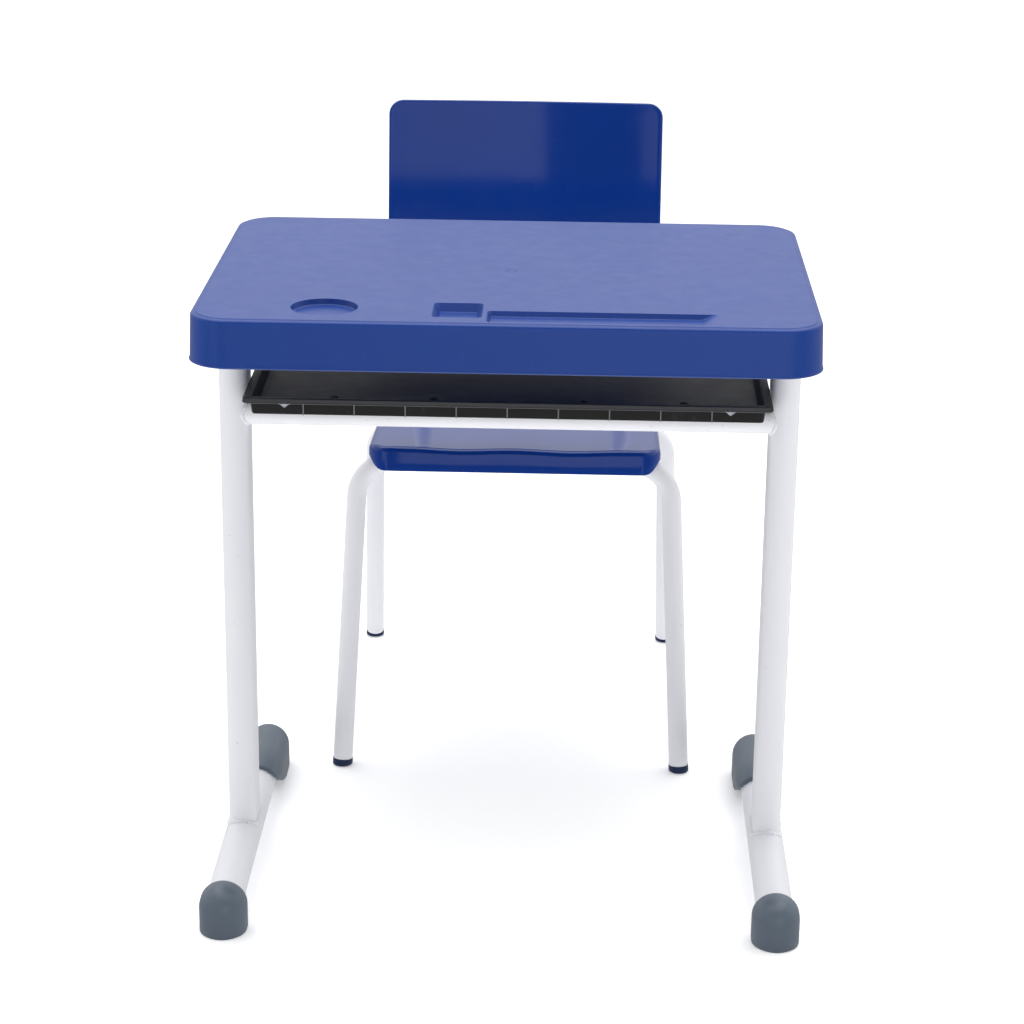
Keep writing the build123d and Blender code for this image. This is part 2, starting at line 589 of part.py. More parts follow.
# ---------------------------------------------------------------- back and its screws
def back_shell():
    """The moulded back: a shell curved in plan with two sleeves for the tubes."""
    rear_at_tube = math.sqrt((BACK_CURVE + BACK_WALL) ** 2 - SPINE_X ** 2)
    centre_y = -(CHAIR_TUBE + 2.4) - rear_at_tube
    ring = Circle(BACK_CURVE + BACK_WALL) - Circle(BACK_CURVE)
    plate = Pos(0, centre_y, 0) * extrude(ring, amount=BACK_HEIGHT)
    outline = Rectangle(BACK_WIDTH, BACK_HEIGHT)
    outline = fillet(outline.vertices().group_by(Axis.Y)[0], BACK_LOW_CORNER)
    outline = fillet(outline.vertices().group_by(Axis.Y)[-1], BACK_TOP_CORNER)
    window = Pos(0, 60, BACK_HEIGHT / 2) * Rot(90, 0, 0) * extrude(outline, amount=120)
    plate = plate & window
    for side in (-1, 1):
        sleeve = rod_along_z(SLEEVE_RADIUS, SLEEVE_LOW, SLEEVE_HIGH, side * SPINE_X, 0)
        inner_side = Pos(0, centre_y, 0) * Cylinder(BACK_CURVE + BACK_WALL / 2, 600)
        plate += sleeve - inner_side
    shell = back_plane() * plate
    for side in (-1, 1):
        shell -= bent_rod(spine_path(side), SPINE_BEND, SLEEVE_BORE)
    for hole in back_screw_rods(BACK_SCREW_RADIUS, 8, 9):
        shell -= hole
    for seat in back_screw_rods(BACK_SCREW_HEAD[0] + 0.1, 8, BACK_SCREW_SEAT):
        shell -= seat
    return shell


def back_screw_rods(radius, length, y_start):
    """Rods on the back screw axes, square to the back, from y_start outwards."""
    rods = []
    for side in (-1, 1):
        for z in (SLEEVE_LOW + 18, SLEEVE_HIGH - 34):
            rods.append(back_plane() * rod_along_y(radius, y_start, y_start + length, side * SPINE_X, z))
    return rods


def back_screws():
    """Screws from behind, through the sleeves into the tubes."""
    reach = BACK_SCREW_SEAT
    radius, rise = BACK_SCREW_HEAD
    screws = []
    for side in (-1, 1):
        for z in (SLEEVE_LOW + 18, SLEEVE_HIGH - 34):
            x = side * SPINE_X
            head = rod_along_y(radius, reach, reach + rise, x, z)
            head = fillet(head.faces().sort_by(Axis.Y)[-1].edges(), 1.1)
            shank = rod_along_y(BACK_SCREW_RADIUS - 0.05, 6.5, reach + 0.5, x, z)
            slots = Pos(x, reach + rise, z) * (Box(radius, rise, SLOT_WIDTH) + Box(SLOT_WIDTH, rise, radius))
            screws.append(back_plane() * (head + shank - slots))
    return screws


# ---------------------------------------------------------------- all nodes
def build_nodes():
    """Every sub-part of the set by its node name."""
    nodes = {
        "desktop": desktop(),
        "desktop_inserts": Compound(children=desktop_inserts()),
        "desktop_screws": Compound(children=desktop_screws()),
        "top_rail": top_rail(),
        "tray_cross_bar": cross_bar(),
        "book_tray": book_tray(),
        "tray_bar_rivets": Compound(children=tray_bar_rivets()),
        "tray_hanger_rivets": Compound(children=hanger_rivets()),
        "front_leg_frame": front_leg_frame(),
        "rear_leg_frame": rear_leg_frame(),
        "seat_shell": seat_shell(),
        "seat_screws": Compound(children=seat_screws()),
        "back_shell": back_shell(),
        "back_screws": Compound(children=back_screws()),
    }
    for side, name in ((-1, "left"), (1, "right")):
        nodes[name + "_top_rail_plug"] = top_rail_plug(side)
        nodes[name + "_column"] = column(side)
        nodes[name + "_foot_tube"] = foot_tube(side)
        nodes[name + "_heel_cap"] = heel_cap(side)
        nodes[name + "_toe_cap"] = toe_cap(side)
        nodes[name + "_tray_hanger"] = tray_hanger(side)
        nodes[name + "_seat_back_tube"] = spine_tube(side)
        nodes["front_" + name + "_leg_plug"] = leg_plug(FRONT_FOOT, FRONT_CORNER, side)
        nodes["rear_" + name + "_leg_plug"] = leg_plug(REAR_FOOT, REAR_CORNER, side)
    return nodes


os.makedirs("parts", exist_ok=True)
for node_name, shape in build_nodes().items():
    export_step(Pos(0, -FOOTPRINT_MIDDLE_Y, 0) * shape, "parts/" + node_name + ".step")
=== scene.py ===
"""Looks of the school desk and chair set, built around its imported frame."""

import json
import logging
import math
from dataclasses import dataclass, field
from enum import Enum
from typing import Callable, Iterable, Sequence

import bmesh
import bpy
from mathutils import Matrix, Vector, noise


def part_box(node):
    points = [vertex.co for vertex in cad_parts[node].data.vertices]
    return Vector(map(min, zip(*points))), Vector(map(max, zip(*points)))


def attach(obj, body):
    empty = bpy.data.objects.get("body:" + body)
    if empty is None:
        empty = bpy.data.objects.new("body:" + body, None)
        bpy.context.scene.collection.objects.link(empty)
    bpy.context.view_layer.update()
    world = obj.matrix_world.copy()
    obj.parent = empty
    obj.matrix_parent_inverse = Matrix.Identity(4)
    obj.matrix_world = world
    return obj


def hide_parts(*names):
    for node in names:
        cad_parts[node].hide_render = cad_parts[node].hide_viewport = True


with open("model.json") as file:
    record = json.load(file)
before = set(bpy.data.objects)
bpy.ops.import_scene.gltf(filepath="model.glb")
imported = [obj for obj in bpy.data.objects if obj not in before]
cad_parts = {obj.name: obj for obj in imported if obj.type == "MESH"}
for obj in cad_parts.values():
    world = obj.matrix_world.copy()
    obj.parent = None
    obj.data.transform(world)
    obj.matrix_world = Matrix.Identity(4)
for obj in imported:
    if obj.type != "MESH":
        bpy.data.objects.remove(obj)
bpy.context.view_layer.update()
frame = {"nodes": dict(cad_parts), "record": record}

LOG = logging.getLogger("desk_and_chair")

# The tray's front edge lies this far behind the desktop's front edge, which is Y = 0 for a maker.
TRAY_SETBACK = 0.116
FRONT_EDGE_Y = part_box("book_tray")[0].y - TRAY_SETBACK

SIDE_X = 0.281                 # centre line of each column and foot
FLOOR_GAP = 0.0004             # the floor lies this far under the soles
SMOOTH_ANGLE = math.radians(32)
LEFT, RIGHT = -1, 1
PAINTED_HIGHLIGHT = "paled"                # how strongly a painted highlight lightens a moulded edge, from 0 to 1
# the light grey of painted highlights on moulded edges
PAINTED_HIGHLIGHT_GREY = (0.50, 0.51, 0.55, 1.0)
BARE_PRIMER = (0.35, 0.35, 0.36, 1.0)
WORN_PAINT = (0.58, 0.59, 0.61, 1.0)
Point = tuple[float, float, float]


# ---------------------------------------------------------------- mesh helpers
class Cap(Enum):
    """How the end of a loft is closed."""

    FLAT = "flat"
    FAN = "fan"
    OPEN = "open"


class Cut(Enum):
    """What one solid does to another."""

    REMOVE = "DIFFERENCE"
    JOIN = "UNION"


def place(x: float, y: float, z: float) -> Vector:
    """A point given from the desktop's front edge, in the frame of the model."""
    return Vector((x, y + FRONT_EDGE_Y, z))


def rounded_outline(half_x: float, half_y: float, radii: Sequence[float], arc: int = 10,
                    run: int = 1) -> list[tuple[float, float]]:
    """Lists the points of a rounded rectangle, anticlockwise.

    Args:
        half_x: Half of its width.
        half_y: Half of its depth.
        radii: Corner radii: front right, rear right, rear left, front left.
        arc: Steps round each corner.
        run: Steps along each straight side.

    Returns:
        The points, always the same number for the same arc and run.
    """
    signs = ((1, -1), (1, 1), (-1, 1), (-1, -1))
    corners = []
    for number, (sign_x, sign_y) in enumerate(signs):
        radius = max(radii[number], 0.0002)
        centre = (sign_x * (half_x - radius), sign_y * (half_y - radius))
        start = -math.pi / 2 + number * math.pi / 2
        corners.append([(centre[0] + radius * math.cos(start + step * math.pi / 2 / arc),
                         centre[1] + radius * math.sin(start + step * math.pi / 2 / arc))
                        for step in range(arc + 1)])
    points = []
    for number, corner in enumerate(corners):
        points.extend(corner)
        last, following = corner[-1], corners[(number + 1) % 4][0]
        for step in range(1, run):
            share = step / run
            points.append((last[0] + (following[0] - last[0]) * share,
                           last[1] + (following[1] - last[1]) * share))
    return points


def loft(loops: Sequence[Sequence[Vector]], first: Cap = Cap.FLAT, last: Cap = Cap.FLAT,
         ring: bool = False) -> bmesh.types.BMesh:
    """Skins a row of loops that have the same number of points.

    Args:
        loops: The loops, in order.
        first: How the first loop is closed.
        last: How the last loop is closed.
        ring: Whether the last loop joins the first.

    Returns:
        The skin as a BMesh.
    """
    skin = bmesh.new()
    rows = [[skin.verts.new(point) for point in loop] for loop in loops]
    pairs = list(zip(rows, rows[1:])) + ([(rows[-1], rows[0])] if ring else [])
    for low, high in pairs:
        for index in range(len(low)):
            after = (index + 1) % len(low)
            skin.faces.new((low[index], low[after], high[after], high[index]))
    for row, cap in ((rows[0], first), (rows[-1], last)):
        if ring or cap is Cap.OPEN:
            continue
        if cap is Cap.FLAT:
            skin.faces.new(row)
            continue
        middle = skin.verts.new(sum((vert.co for vert in row), Vector()) / len(row))
        for index in range(len(row)):
            skin.faces.new((row[index], row[(index + 1) % len(row)], middle))
    return skin


def circle(radius: float, height: float, steps: int) -> list[Vector]:
    """Lists points evenly spaced round Z at a radius and a height."""
    return [Vector((radius * math.cos(turn * math.tau / steps),
                    radius * math.sin(turn * math.tau / steps), height)) for turn in range(steps)]


def lathe(profile: Sequence[tuple[float, float]], steps: int = 32) -> bmesh.types.BMesh:
    """Turns a profile of (radius, height) pairs round Z; both ends lie on the axis.

    Args:
        profile: Radius and height down the shape.
        steps: How many sides the round has.

    Returns:
        The closed mesh.
    """
    rows = [circle(radius, height, steps) for radius, height in profile[1:-1]]
    skin = loft(rows, Cap.OPEN, Cap.OPEN)
    skin.verts.ensure_lookup_table()
    for (_, height), start in ((profile[0], 0), (profile[-1], (len(rows) - 1) * steps)):
        pole = skin.verts.new((0, 0, height))
        skin.verts.ensure_lookup_table()
        for turn in range(steps):
            skin.faces.new((skin.verts[start + turn], skin.verts[start + (turn + 1) % steps], pole))
    return skin


def as_object(skin: bmesh.types.BMesh, name: str) -> bpy.types.Object:
    """Closes, orients and smooths a BMesh and links it as an object.

    Args:
        skin: The mesh, which is freed.
        name: The object's name.

    Returns:
        The new object.
    """
    bmesh.ops.remove_doubles(skin, verts=skin.verts, dist=1e-6)
    bmesh.ops.recalc_face_normals(skin, faces=skin.faces)
    mesh = bpy.data.meshes.new(name)
    skin.to_mesh(mesh)
    skin.free()
    piece = bpy.data.objects.new(name, mesh)
    bpy.context.scene.collection.objects.link(piece)
    shade(piece)
    return piece


def shade(piece: bpy.types.Object, angle: float = SMOOTH_ANGLE) -> None:
    """Shades a piece smooth, with hard edges where two faces meet at more than an angle.

    Args:
        piece: The piece to shade.
        angle: The least turn between two faces that stays sharp.
    """
    mesh = piece.data
    if "custom_normal" in mesh.attributes:
        mesh.attributes.remove(mesh.attributes["custom_normal"])
    mesh.polygons.foreach_set("use_smooth", [True] * len(mesh.polygons))
    mesh.set_sharp_from_angle(angle=angle)


def shade_flats(piece: bpy.types.Object, angle: float) -> bpy.types.Object:
    """Shades a piece smooth and lets its large flat faces rule the normals of their rounded edges.

    Args:
        piece: The piece to shade.
        angle: The least turn between two faces that stays sharp.

    Returns:
        The piece.
    """
    shade(piece, angle)
    even = piece.modifiers.new("Even", "WEIGHTED_NORMAL")
    even.keep_sharp = True
    even.weight = 100
    return settle(piece)


def settle(piece: bpy.types.Object) -> bpy.types.Object:
    """Turns a piece's live modifiers into its own plain mesh.

    Args:
        piece: The piece whose modifiers are live.

    Returns:
        The same piece, without modifiers.
    """
    graph = bpy.context.evaluated_depsgraph_get()
    mesh = bpy.data.meshes.new_from_object(piece.evaluated_get(graph), depsgraph=graph)
    before = piece.data
    piece.modifiers.clear()
    piece.data = mesh
    name = before.name
    bpy.data.meshes.remove(before)
    mesh.name = name
    return piece


def cut(piece: bpy.types.Object, tool: bpy.types.Object, how: Cut) -> bpy.types.Object:
    """Joins a tool to a piece or takes it away, and removes the tool.

    Args:
        piece: The solid that stays.
        tool: The other solid.
        how: Whether the tool is joined or taken away.

    Returns:
        The piece.
    """
    change = piece.modifiers.new(how.name, "BOOLEAN")
    change.operation = how.value
    change.solver = "EXACT"
    change.object = tool
    settle(piece)
    bpy.data.objects.remove(tool)
    return piece


def soften(piece: bpy.types.Object, width: float, steps: int = 3,
           angle: float = math.radians(38)) -> bpy.types.Object:
    """Rounds every edge sharper than an angle, as a mould or a brake leaves it.

    Args:
        piece: The piece to round.
        width: How far the round reaches from the edge.
        steps: Steps across the round.
        angle: The least angle between two faces that is rounded.

    Returns:
        The piece.
    """
    round_off = piece.modifiers.new("Round", "BEVEL")
    round_off.limit_method = "ANGLE"
    round_off.angle_limit = angle
    round_off.width = width
    round_off.segments = steps
    round_off.use_clamp_overlap = True
    settle(piece)
    return shade_flats(piece, math.radians(40))


def pale(piece: bpy.types.Object, share: float, where: Callable[[Vector], bool]) -> None:
    """Marks the corners of a piece that pass a test for a painted highlight, a lighter grey where light
    catches an edge.

    Args:
        piece: The piece to mark.
        share: How strong the painted highlight is, from 0 to 1.
        where: The test of a corner.
    """
    mark = piece.data.attributes.get(PAINTED_HIGHLIGHT) or piece.data.attributes.new(PAINTED_HIGHLIGHT, "FLOAT", "POINT")
    for vert, value in zip(piece.data.vertices, mark.data):
        if where(vert.co):
            value.value = share


def join(pieces: Sequence[bpy.types.Object], name: str) -> bpy.types.Object:
    """Gathers several closed meshes into one object.

    Args:
        pieces: The closed meshes.
        name: The name of the whole.

    Returns:
        The one object.
    """
    skin = bmesh.new()
    for piece in pieces:
        skin.from_mesh(piece.data)
        bpy.data.objects.remove(piece)
    return as_object(skin, name)


def box_solid(low: Vector, high: Vector, name: str) -> bpy.types.Object:
    """A plain block between two corners, used only as a cutting tool."""
    outline = ((low.x, low.y), (high.x, low.y), (high.x, high.y), (low.x, high.y))
    return as_object(loft([[Vector((x, y, z)) for x, y in outline] for z in (low.z, high.z)]), name)


# ---------------------------------------------------------------- geometry node trees
class Graph:
    """A node tree of any kind, with short calls that add and feed its nodes."""

    tree: bpy.types.NodeTree

    def node(self, kind: str, **links: object) -> bpy.types.Node:
        """Adds a node and feeds its inputs.

        Args:
            kind: The node's type.
            **links: Input names, with _ for a space, each with a socket or a plain value.

        Returns:
            The node.
        """
        node = self.tree.nodes.new(kind)
        for name, value in links.items():
            self.feed(node.inputs[name.replace("_", " ")], value)
        return node

    def feed(self, socket: bpy.types.NodeSocket, value: object) -> None:
        """Links a socket, or sets a plain value on it.

        Args:
            socket: The input.
            value: A socket to link, or a plain value.
        """
        if isinstance(value, bpy.types.NodeSocket):
            self.tree.links.new(value, socket)
        else:
            socket.default_value = value

    def ramp(self, source: bpy.types.NodeSocket, low: float, high: float, start: float,
             end: float) -> bpy.types.NodeSocket:
        """Maps the range low to high of a pattern onto start to end, held at both ends.

        Args:
            source: The pattern.
            low: Where the change starts.
            high: Where the change ends.
            start: The value up to low.
            end: The value from high on.

        Returns:
            The mapped number.
        """
        spread = self.node("ShaderNodeMapRange", Value=source)
        for name, value in (("From Min", low), ("From Max", high), ("To Min", start), ("To Max", end)):
            spread.inputs[name].default_value = value
        return spread.outputs["Result"]

    def sum(self, first: object, second: object, how: str = "ADD") -> bpy.types.NodeSocket:
        """Adds, multiplies or compares two numbers.

        Args:
            first: A socket or a number.
            second: A socket or a number.
            how: What the Math node does.

        Returns:
            The result.
        """
        node = self.tree.nodes.new("ShaderNodeMath")
        node.operation = how
        self.feed(node.inputs[0], first)
        self.feed(node.inputs[1], second)
        return node.outputs[0]


class NodeTree(Graph):
    """A Geometry Nodes tree whose sizes are named inputs."""

    def __init__(self, name: str) -> None:
        """Starts an empty tree with a geometry input and output.

        Args:
            name: The name of the tree.
        """
        self.tree = bpy.data.node_groups.new(name, "GeometryNodeTree")
        self.tree.is_modifier = True
        self.identifiers: dict[str, str] = {}
        self.tree.interface.new_socket("Geometry", in_out="INPUT", socket_type="NodeSocketGeometry")
        self.tree.interface.new_socket("Geometry", in_out="OUTPUT", socket_type="NodeSocketGeometry")
        self.start = self.tree.nodes.new("NodeGroupInput")
        self.end = self.tree.nodes.new("NodeGroupOutput")

    def input(self, name: str, kind: str) -> None:
        """Adds a named input of a socket kind."""
        socket = self.tree.interface.new_socket(name, in_out="INPUT", socket_type="NodeSocket" + kind)
        self.identifiers[name] = socket.identifier

    def dress(self, instances: bpy.types.NodeSocket) -> None:
        """Ends the tree: makes the instances real and gives them the finish.

        Args:
            instances: What the tree has set out.
        """
        real = self.node("GeometryNodeRealizeInstances", Geometry=instances)
        dressed = self.node("GeometryNodeSetMaterial", Geometry=real.outputs["Geometry"],
                            Material=self.start.outputs["Finish"])
        self.feed(self.end.inputs["Geometry"], dressed.outputs["Geometry"])

    def run(self, base: bpy.types.Object, **values: object) -> bpy.types.Object:
        """Runs the tree on an object and keeps the result as its plain mesh.

        Args:
            base: The object whose mesh the tree starts from.
            **values: Named inputs, with _ for a space.

        Returns:
            The same object, with its new mesh.
        """
        live = base.modifiers.new(self.tree.name, "NODES")
        live.node_group = self.tree
        for name, value in values.items():
            live[self.identifiers[name.replace("_", " ")]] = value
        return settle(base)


def fastener_tree() -> NodeTree:
    """Builds the tree that sets one fastener on each point, along the point's own axis.

    Returns:
        The finished tree.
    """
    tree = NodeTree("Fasteners")
    for name, kind in (("Fastener", "Object"), ("Turn Seed", "Int"), ("Finish", "Material")):
        tree.input(name, kind)
    source = tree.node("GeometryNodeObjectInfo", Object=tree.start.outputs["Fastener"])
    axis = tree.node("GeometryNodeInputNamedAttribute", Name="axis")
    axis.data_type = "FLOAT_VECTOR"
    stand = tree.node("FunctionNodeAlignRotationToVector", Vector=axis.outputs["Attribute"])
    stand.axis = "Z"
    turn = tree.node("FunctionNodeRandomValue", Seed=tree.start.outputs["Turn Seed"])
    turn.data_type = "FLOAT"
    turn.inputs[3].default_value = math.tau
    spin = tree.node("ShaderNodeCombineXYZ", Z=turn.outputs[1])
    spread = tree.node("GeometryNodeInstanceOnPoints", Points=tree.start.outputs["Geometry"],
                       Instance=source.outputs["Geometry"], Rotation=stand.outputs["Rotation"])
    turned = tree.node("GeometryNodeRotateInstances", Instances=spread.outputs["Instances"],
                       Rotation=spin.outputs["Vector"])
    tree.dress(turned.outputs["Instances"])
    return tree


def row_tree() -> NodeTree:
    """Builds the tree that repeats one shape along a straight row.

    Returns:
        The finished tree.
    """
    tree = NodeTree("Row")
    for name, kind in (("Shape", "Object"), ("Count", "Int"), ("Start", "Vector"),
                       ("Pitch", "Vector"), ("Finish", "Material")):
        tree.input(name, kind)
    source = tree.node("GeometryNodeObjectInfo", Object=tree.start.outputs["Shape"])
    row = tree.node("GeometryNodeMeshLine", Count=tree.start.outputs["Count"],
                    Start_Location=tree.start.outputs["Start"], Offset=tree.start.outputs["Pitch"])
    spread = tree.node("GeometryNodeInstanceOnPoints", Points=row.outputs["Mesh"],
                       Instance=source.outputs["Geometry"])
    tree.dress(spread.outputs["Instances"])
    return tree


def points_object(name: str, spots: Sequence[Vector], axes: Sequence[Vector]) -> bpy.types.Object:
    """An object of loose points, each with an axis for what will stand on it.

    Args:
        name: The name of the object.
        spots: Where the points lie.
        axes: The axis of each point.

    Returns:
        The object of points.
    """
    mesh = bpy.data.meshes.new(name)
    mesh.from_pydata([tuple(spot) for spot in spots], [], [])
    axis = mesh.attributes.new("axis", "FLOAT_VECTOR", "POINT")
    axis.data.foreach_set("vector", [number for one in axes for number in one])
    holder = bpy.data.objects.new(name, mesh)
    bpy.context.scene.collection.objects.link(holder)
    return holder


# ---------------------------------------------------------------- finishes
class Shader(Graph):
    """A material's node tree, with short calls for the patterns the finishes share."""

    def __init__(self, name: str) -> None:
        """Starts a material with its surface shader and object coordinates.

        Args:
            name: The name of the material.
        """
        self.material = bpy.data.materials.new(name)
        self.material.use_nodes = True
        self.tree = self.material.node_tree
        self.surface = self.tree.nodes["Principled BSDF"]
        self.where = self.tree.nodes.new("ShaderNodeTexCoord").outputs["Object"]

    def grain(self, scale: float, detail: float = 3.0,
              stretch: Point = (1.0, 1.0, 1.0)) -> bpy.types.NodeSocket:
        """A noise pattern of so many waves per metre, stretched along the axes.

        Args:
            scale: Waves per metre.
            detail: How many finer layers the noise has.
            stretch: The scale along X, Y and Z.

        Returns:
            The pattern, from 0 to 1.
        """
        spread = self.node("ShaderNodeMapping", Vector=self.where, Scale=stretch)
        cloud = self.node("ShaderNodeTexNoise", Vector=spread.outputs["Vector"], Scale=scale,
                          Detail=detail, Roughness=0.55)
        return cloud.outputs["Fac"]

    def mix(self, share: object, first: object, second: object) -> bpy.types.NodeSocket:
        """Mixes two colours by a share.

        Args:
            share: How much of the second colour, from 0 to 1.
            first: A colour or its socket.
            second: A colour or its socket.

        Returns:
            The mixed colour.
        """
        blend = self.tree.nodes.new("ShaderNodeMix")
        blend.data_type = "RGBA"
        self.feed(blend.inputs[0], share)
        self.feed(blend.inputs[6], first)
        self.feed(blend.inputs[7], second)
        return blend.outputs[2]

    def edges(self, radius: float) -> bpy.types.NodeSocket:
        """A mask that is 1 on convex and concave edges within a radius and 0 on open faces.

        Args:
            radius: How far from an edge the mask reaches.

        Returns:
            The mask.
        """
        rounded = self.node("ShaderNodeBevel", Radius=radius)
        rounded.samples = 6
        flat = self.node("ShaderNodeNewGeometry")
        lean = self.node("ShaderNodeVectorMath")
        lean.operation = "DOT_PRODUCT"
        self.feed(lean.inputs[0], rounded.outputs["Normal"])
        self.feed(lean.inputs[1], flat.outputs["Normal"])
        return self.ramp(lean.outputs["Value"], 0.99, 0.80, 0.0, 1.0)

    def relief(self, *layers: tuple[bpy.types.NodeSocket, float]) -> None:
        """Stacks bump layers, each a pattern with its depth in metres, onto the surface.

        Args:
            *layers: Each pattern with its depth in metres.
        """
        normal = None
        for pattern, depth in layers:
            bump = self.node("ShaderNodeBump", Height=pattern, Distance=depth, Strength=1.0)
            if normal is not None:
                self.feed(bump.inputs["Normal"], normal)
            normal = bump.outputs["Normal"]
        self.feed(self.surface.inputs["Normal"], normal)


def shade_of(colour: Point, gain: float) -> tuple[float, float, float, float]:
    """A colour with all its channels scaled, ready for a socket."""
    return tuple(min(1.0, channel * gain) for channel in colour) + (1.0,)


@dataclass(frozen=True)
class MouldedPlastic:
    """Injection-moulded plastic: fine mould grain, slow flow marks, handling wear and painted edge
    highlights.
    """

    slot: str
    colour: Point
    roughness: float
    specular: float = 0.5
    grain_depth: float = 0.00002
    grain_scale: float = 2200.0
    flow_depth: float = 0.0004
    flow_scale: float = 9.0
    # lightens the scuffs, which are real wear, and the edges, which carry a painted highlight
    scuff_and_highlight_gain: float = 2.2
    scuff_share: float = 0.35
    pigment_spread: float = 0.03
    streak_scale: float = 140.0
    patch_scale: float = 24.0
    edge_reach: float = 0.0012

    def build(self) -> bpy.types.Material:
        """Builds the material.

        Returns:
            The material.
        """
        made = Shader(self.slot)
        made.surface.inputs["Specular IOR Level"].default_value = self.specular
        flow = made.grain(self.flow_scale, 2.0, (1.0, 1.6, 1.0))
        pigment = made.mix(made.ramp(flow, 0.3, 0.7, 0.0, 1.0),
                           shade_of(self.colour, 1.0 - self.pigment_spread),
                           shade_of(self.colour, 1.0 + self.pigment_spread))
        streaks = made.ramp(made.grain(self.streak_scale, 4.0, (1.0, 0.08, 0.5)), 0.60, 0.72, 0.0,
                            self.scuff_share)
        patches = made.ramp(made.grain(self.patch_scale, 3.0), 0.48, 0.62, 0.0, 1.0)
        wear = made.sum(streaks, patches, "MULTIPLY")
        # edge mask: partly handling wear, partly a painted highlight along every edge
        edge = made.sum(made.edges(self.edge_reach), made.ramp(made.grain(70.0), 0.4, 0.65, 0.1, 0.55),
                        "MULTIPLY")
        surface_colour = made.mix(made.sum(wear, edge, "MAXIMUM"), pigment,
                        shade_of(tuple(channel + 0.012 for channel in self.colour), self.scuff_and_highlight_gain))
        # painted highlight: corners marked by pale() are mixed towards a light grey
        paled = made.tree.nodes.new("ShaderNodeAttribute")
        paled.attribute_name = PAINTED_HIGHLIGHT
        surface_colour = made.mix(paled.outputs["Fac"], surface_colour, PAINTED_HIGHLIGHT_GREY)
        made.feed(made.surface.inputs["Base Color"], surface_colour)
        spread = made.ramp(made.grain(55.0, 5.0), 0.3, 0.7, self.roughness - 0.02, self.roughness + 0.03)
        made.feed(made.surface.inputs["Roughness"], made.sum(spread, made.sum(wear, 0.18, "MULTIPLY")))
        made.relief((made.grain(self.flow_scale, 1.0), self.flow_depth),
                    (made.grain(self.grain_scale, 2.0), self.grain_depth))
        return made.material


@dataclass(frozen=True)
class PowderCoat:
    """Powder-coated steel: orange peel, faint dust shadow and small nicks."""

    slot: str
    colour: Point
    roughness: float = 0.38
    peel_scale: float = 420.0
    peel_depth: float = 0.00008
    dust_scale: float = 6.0
    nick_scale: float = 210.0
    nick_depth: float = 0.00008
    edge_reach: float = 0.001

    def build(self) -> bpy.types.Material:
        """Builds the material.

        Returns:
            The material.
        """
        made = Shader(self.slot)
        made.surface.inputs["Specular IOR Level"].default_value = 0.45
        dust = made.ramp(made.grain(self.dust_scale, 4.0, (1.0, 1.0, 0.35)), 0.42, 0.68, 0.0, 0.55)
        tint = made.mix(dust, shade_of(self.colour, 1.0), shade_of(self.colour, 0.93))
        nicks = made.ramp(made.grain(self.nick_scale, 2.0), 0.75, 0.765, 0.0, 0.55)
        bare = made.mix(nicks, tint, BARE_PRIMER)
        surface_colour = made.mix(made.sum(made.edges(self.edge_reach), 0.22, "MULTIPLY"), bare, WORN_PAINT)
        made.feed(made.surface.inputs["Base Color"], surface_colour)
        made.feed(made.surface.inputs["Roughness"],
                  made.ramp(made.grain(35.0, 4.0), 0.3, 0.7, self.roughness - 0.05, self.roughness + 0.07))
        made.relief((made.grain(self.peel_scale, 1.5), self.peel_depth),
                    (made.sum(nicks, -1.0, "MULTIPLY"), self.nick_depth))
        return made.material


@dataclass(frozen=True)
class PlainMetal:
    """Plated or turned metal with fine tool marks and light tarnish."""

    slot: str
    colour: Point
    roughness: float

    def build(self) -> bpy.types.Material:
        """Builds the material.

        Returns:
            The material.
        """
        made = Shader(self.slot)
        made.surface.inputs["Metallic"].default_value = 1.0
        tarnish = made.ramp(made.grain(260.0, 4.0), 0.35, 0.7, 0.0, 0.6)
        made.feed(made.surface.inputs["Base Color"],
                  made.mix(tarnish, shade_of(self.colour, 1.0), shade_of(self.colour, 0.72)))
        made.feed(made.surface.inputs["Roughness"],
                  made.ramp(made.grain(900.0, 3.0), 0.3, 0.7, self.roughness - 0.07, self.roughness + 0.1))
        made.relief((made.grain(1400.0, 2.0, (1.0, 1.0, 6.0)), 0.00003))
        return made.material


FINISHES = (
    MouldedPlastic("desk_blue", (0.004, 0.042, 0.258), 0.34, specular=0.38, flow_depth=0.0002,
                   scuff_share=0.12),
    MouldedPlastic("chair_blue", (0.003, 0.034, 0.240), 0.11, specular=0.4, flow_depth=0.0005,
                   flow_scale=7.0, grain_depth=0.000004, scuff_share=0.1),
    MouldedPlastic("plug_blue", (0.014, 0.030, 0.085), 0.42, specular=0.3),
    MouldedPlastic("cap_grey", (0.100, 0.131, 0.170), 0.40, grain_depth=0.00005, grain_scale=1500.0,
                   scuff_and_highlight_gain=1.8, scuff_share=0.6),
    # a high gain, so the tray's edges and thin ribs carry a strong painted highlight
    MouldedPlastic("tray_black", (0.017, 0.017, 0.017), 0.48, specular=0.35, flow_depth=0.0002,
                   scuff_and_highlight_gain=2.4),
    PowderCoat("frame_white", (0.84, 0.845, 0.885)),
    PlainMetal("zinc_steel", (0.62, 0.63, 0.65), 0.28),
    PlainMetal("rivet_aluminium", (0.75, 0.75, 0.76), 0.34),
    PlainMetal("brass", (0.72, 0.52, 0.22), 0.30),
)


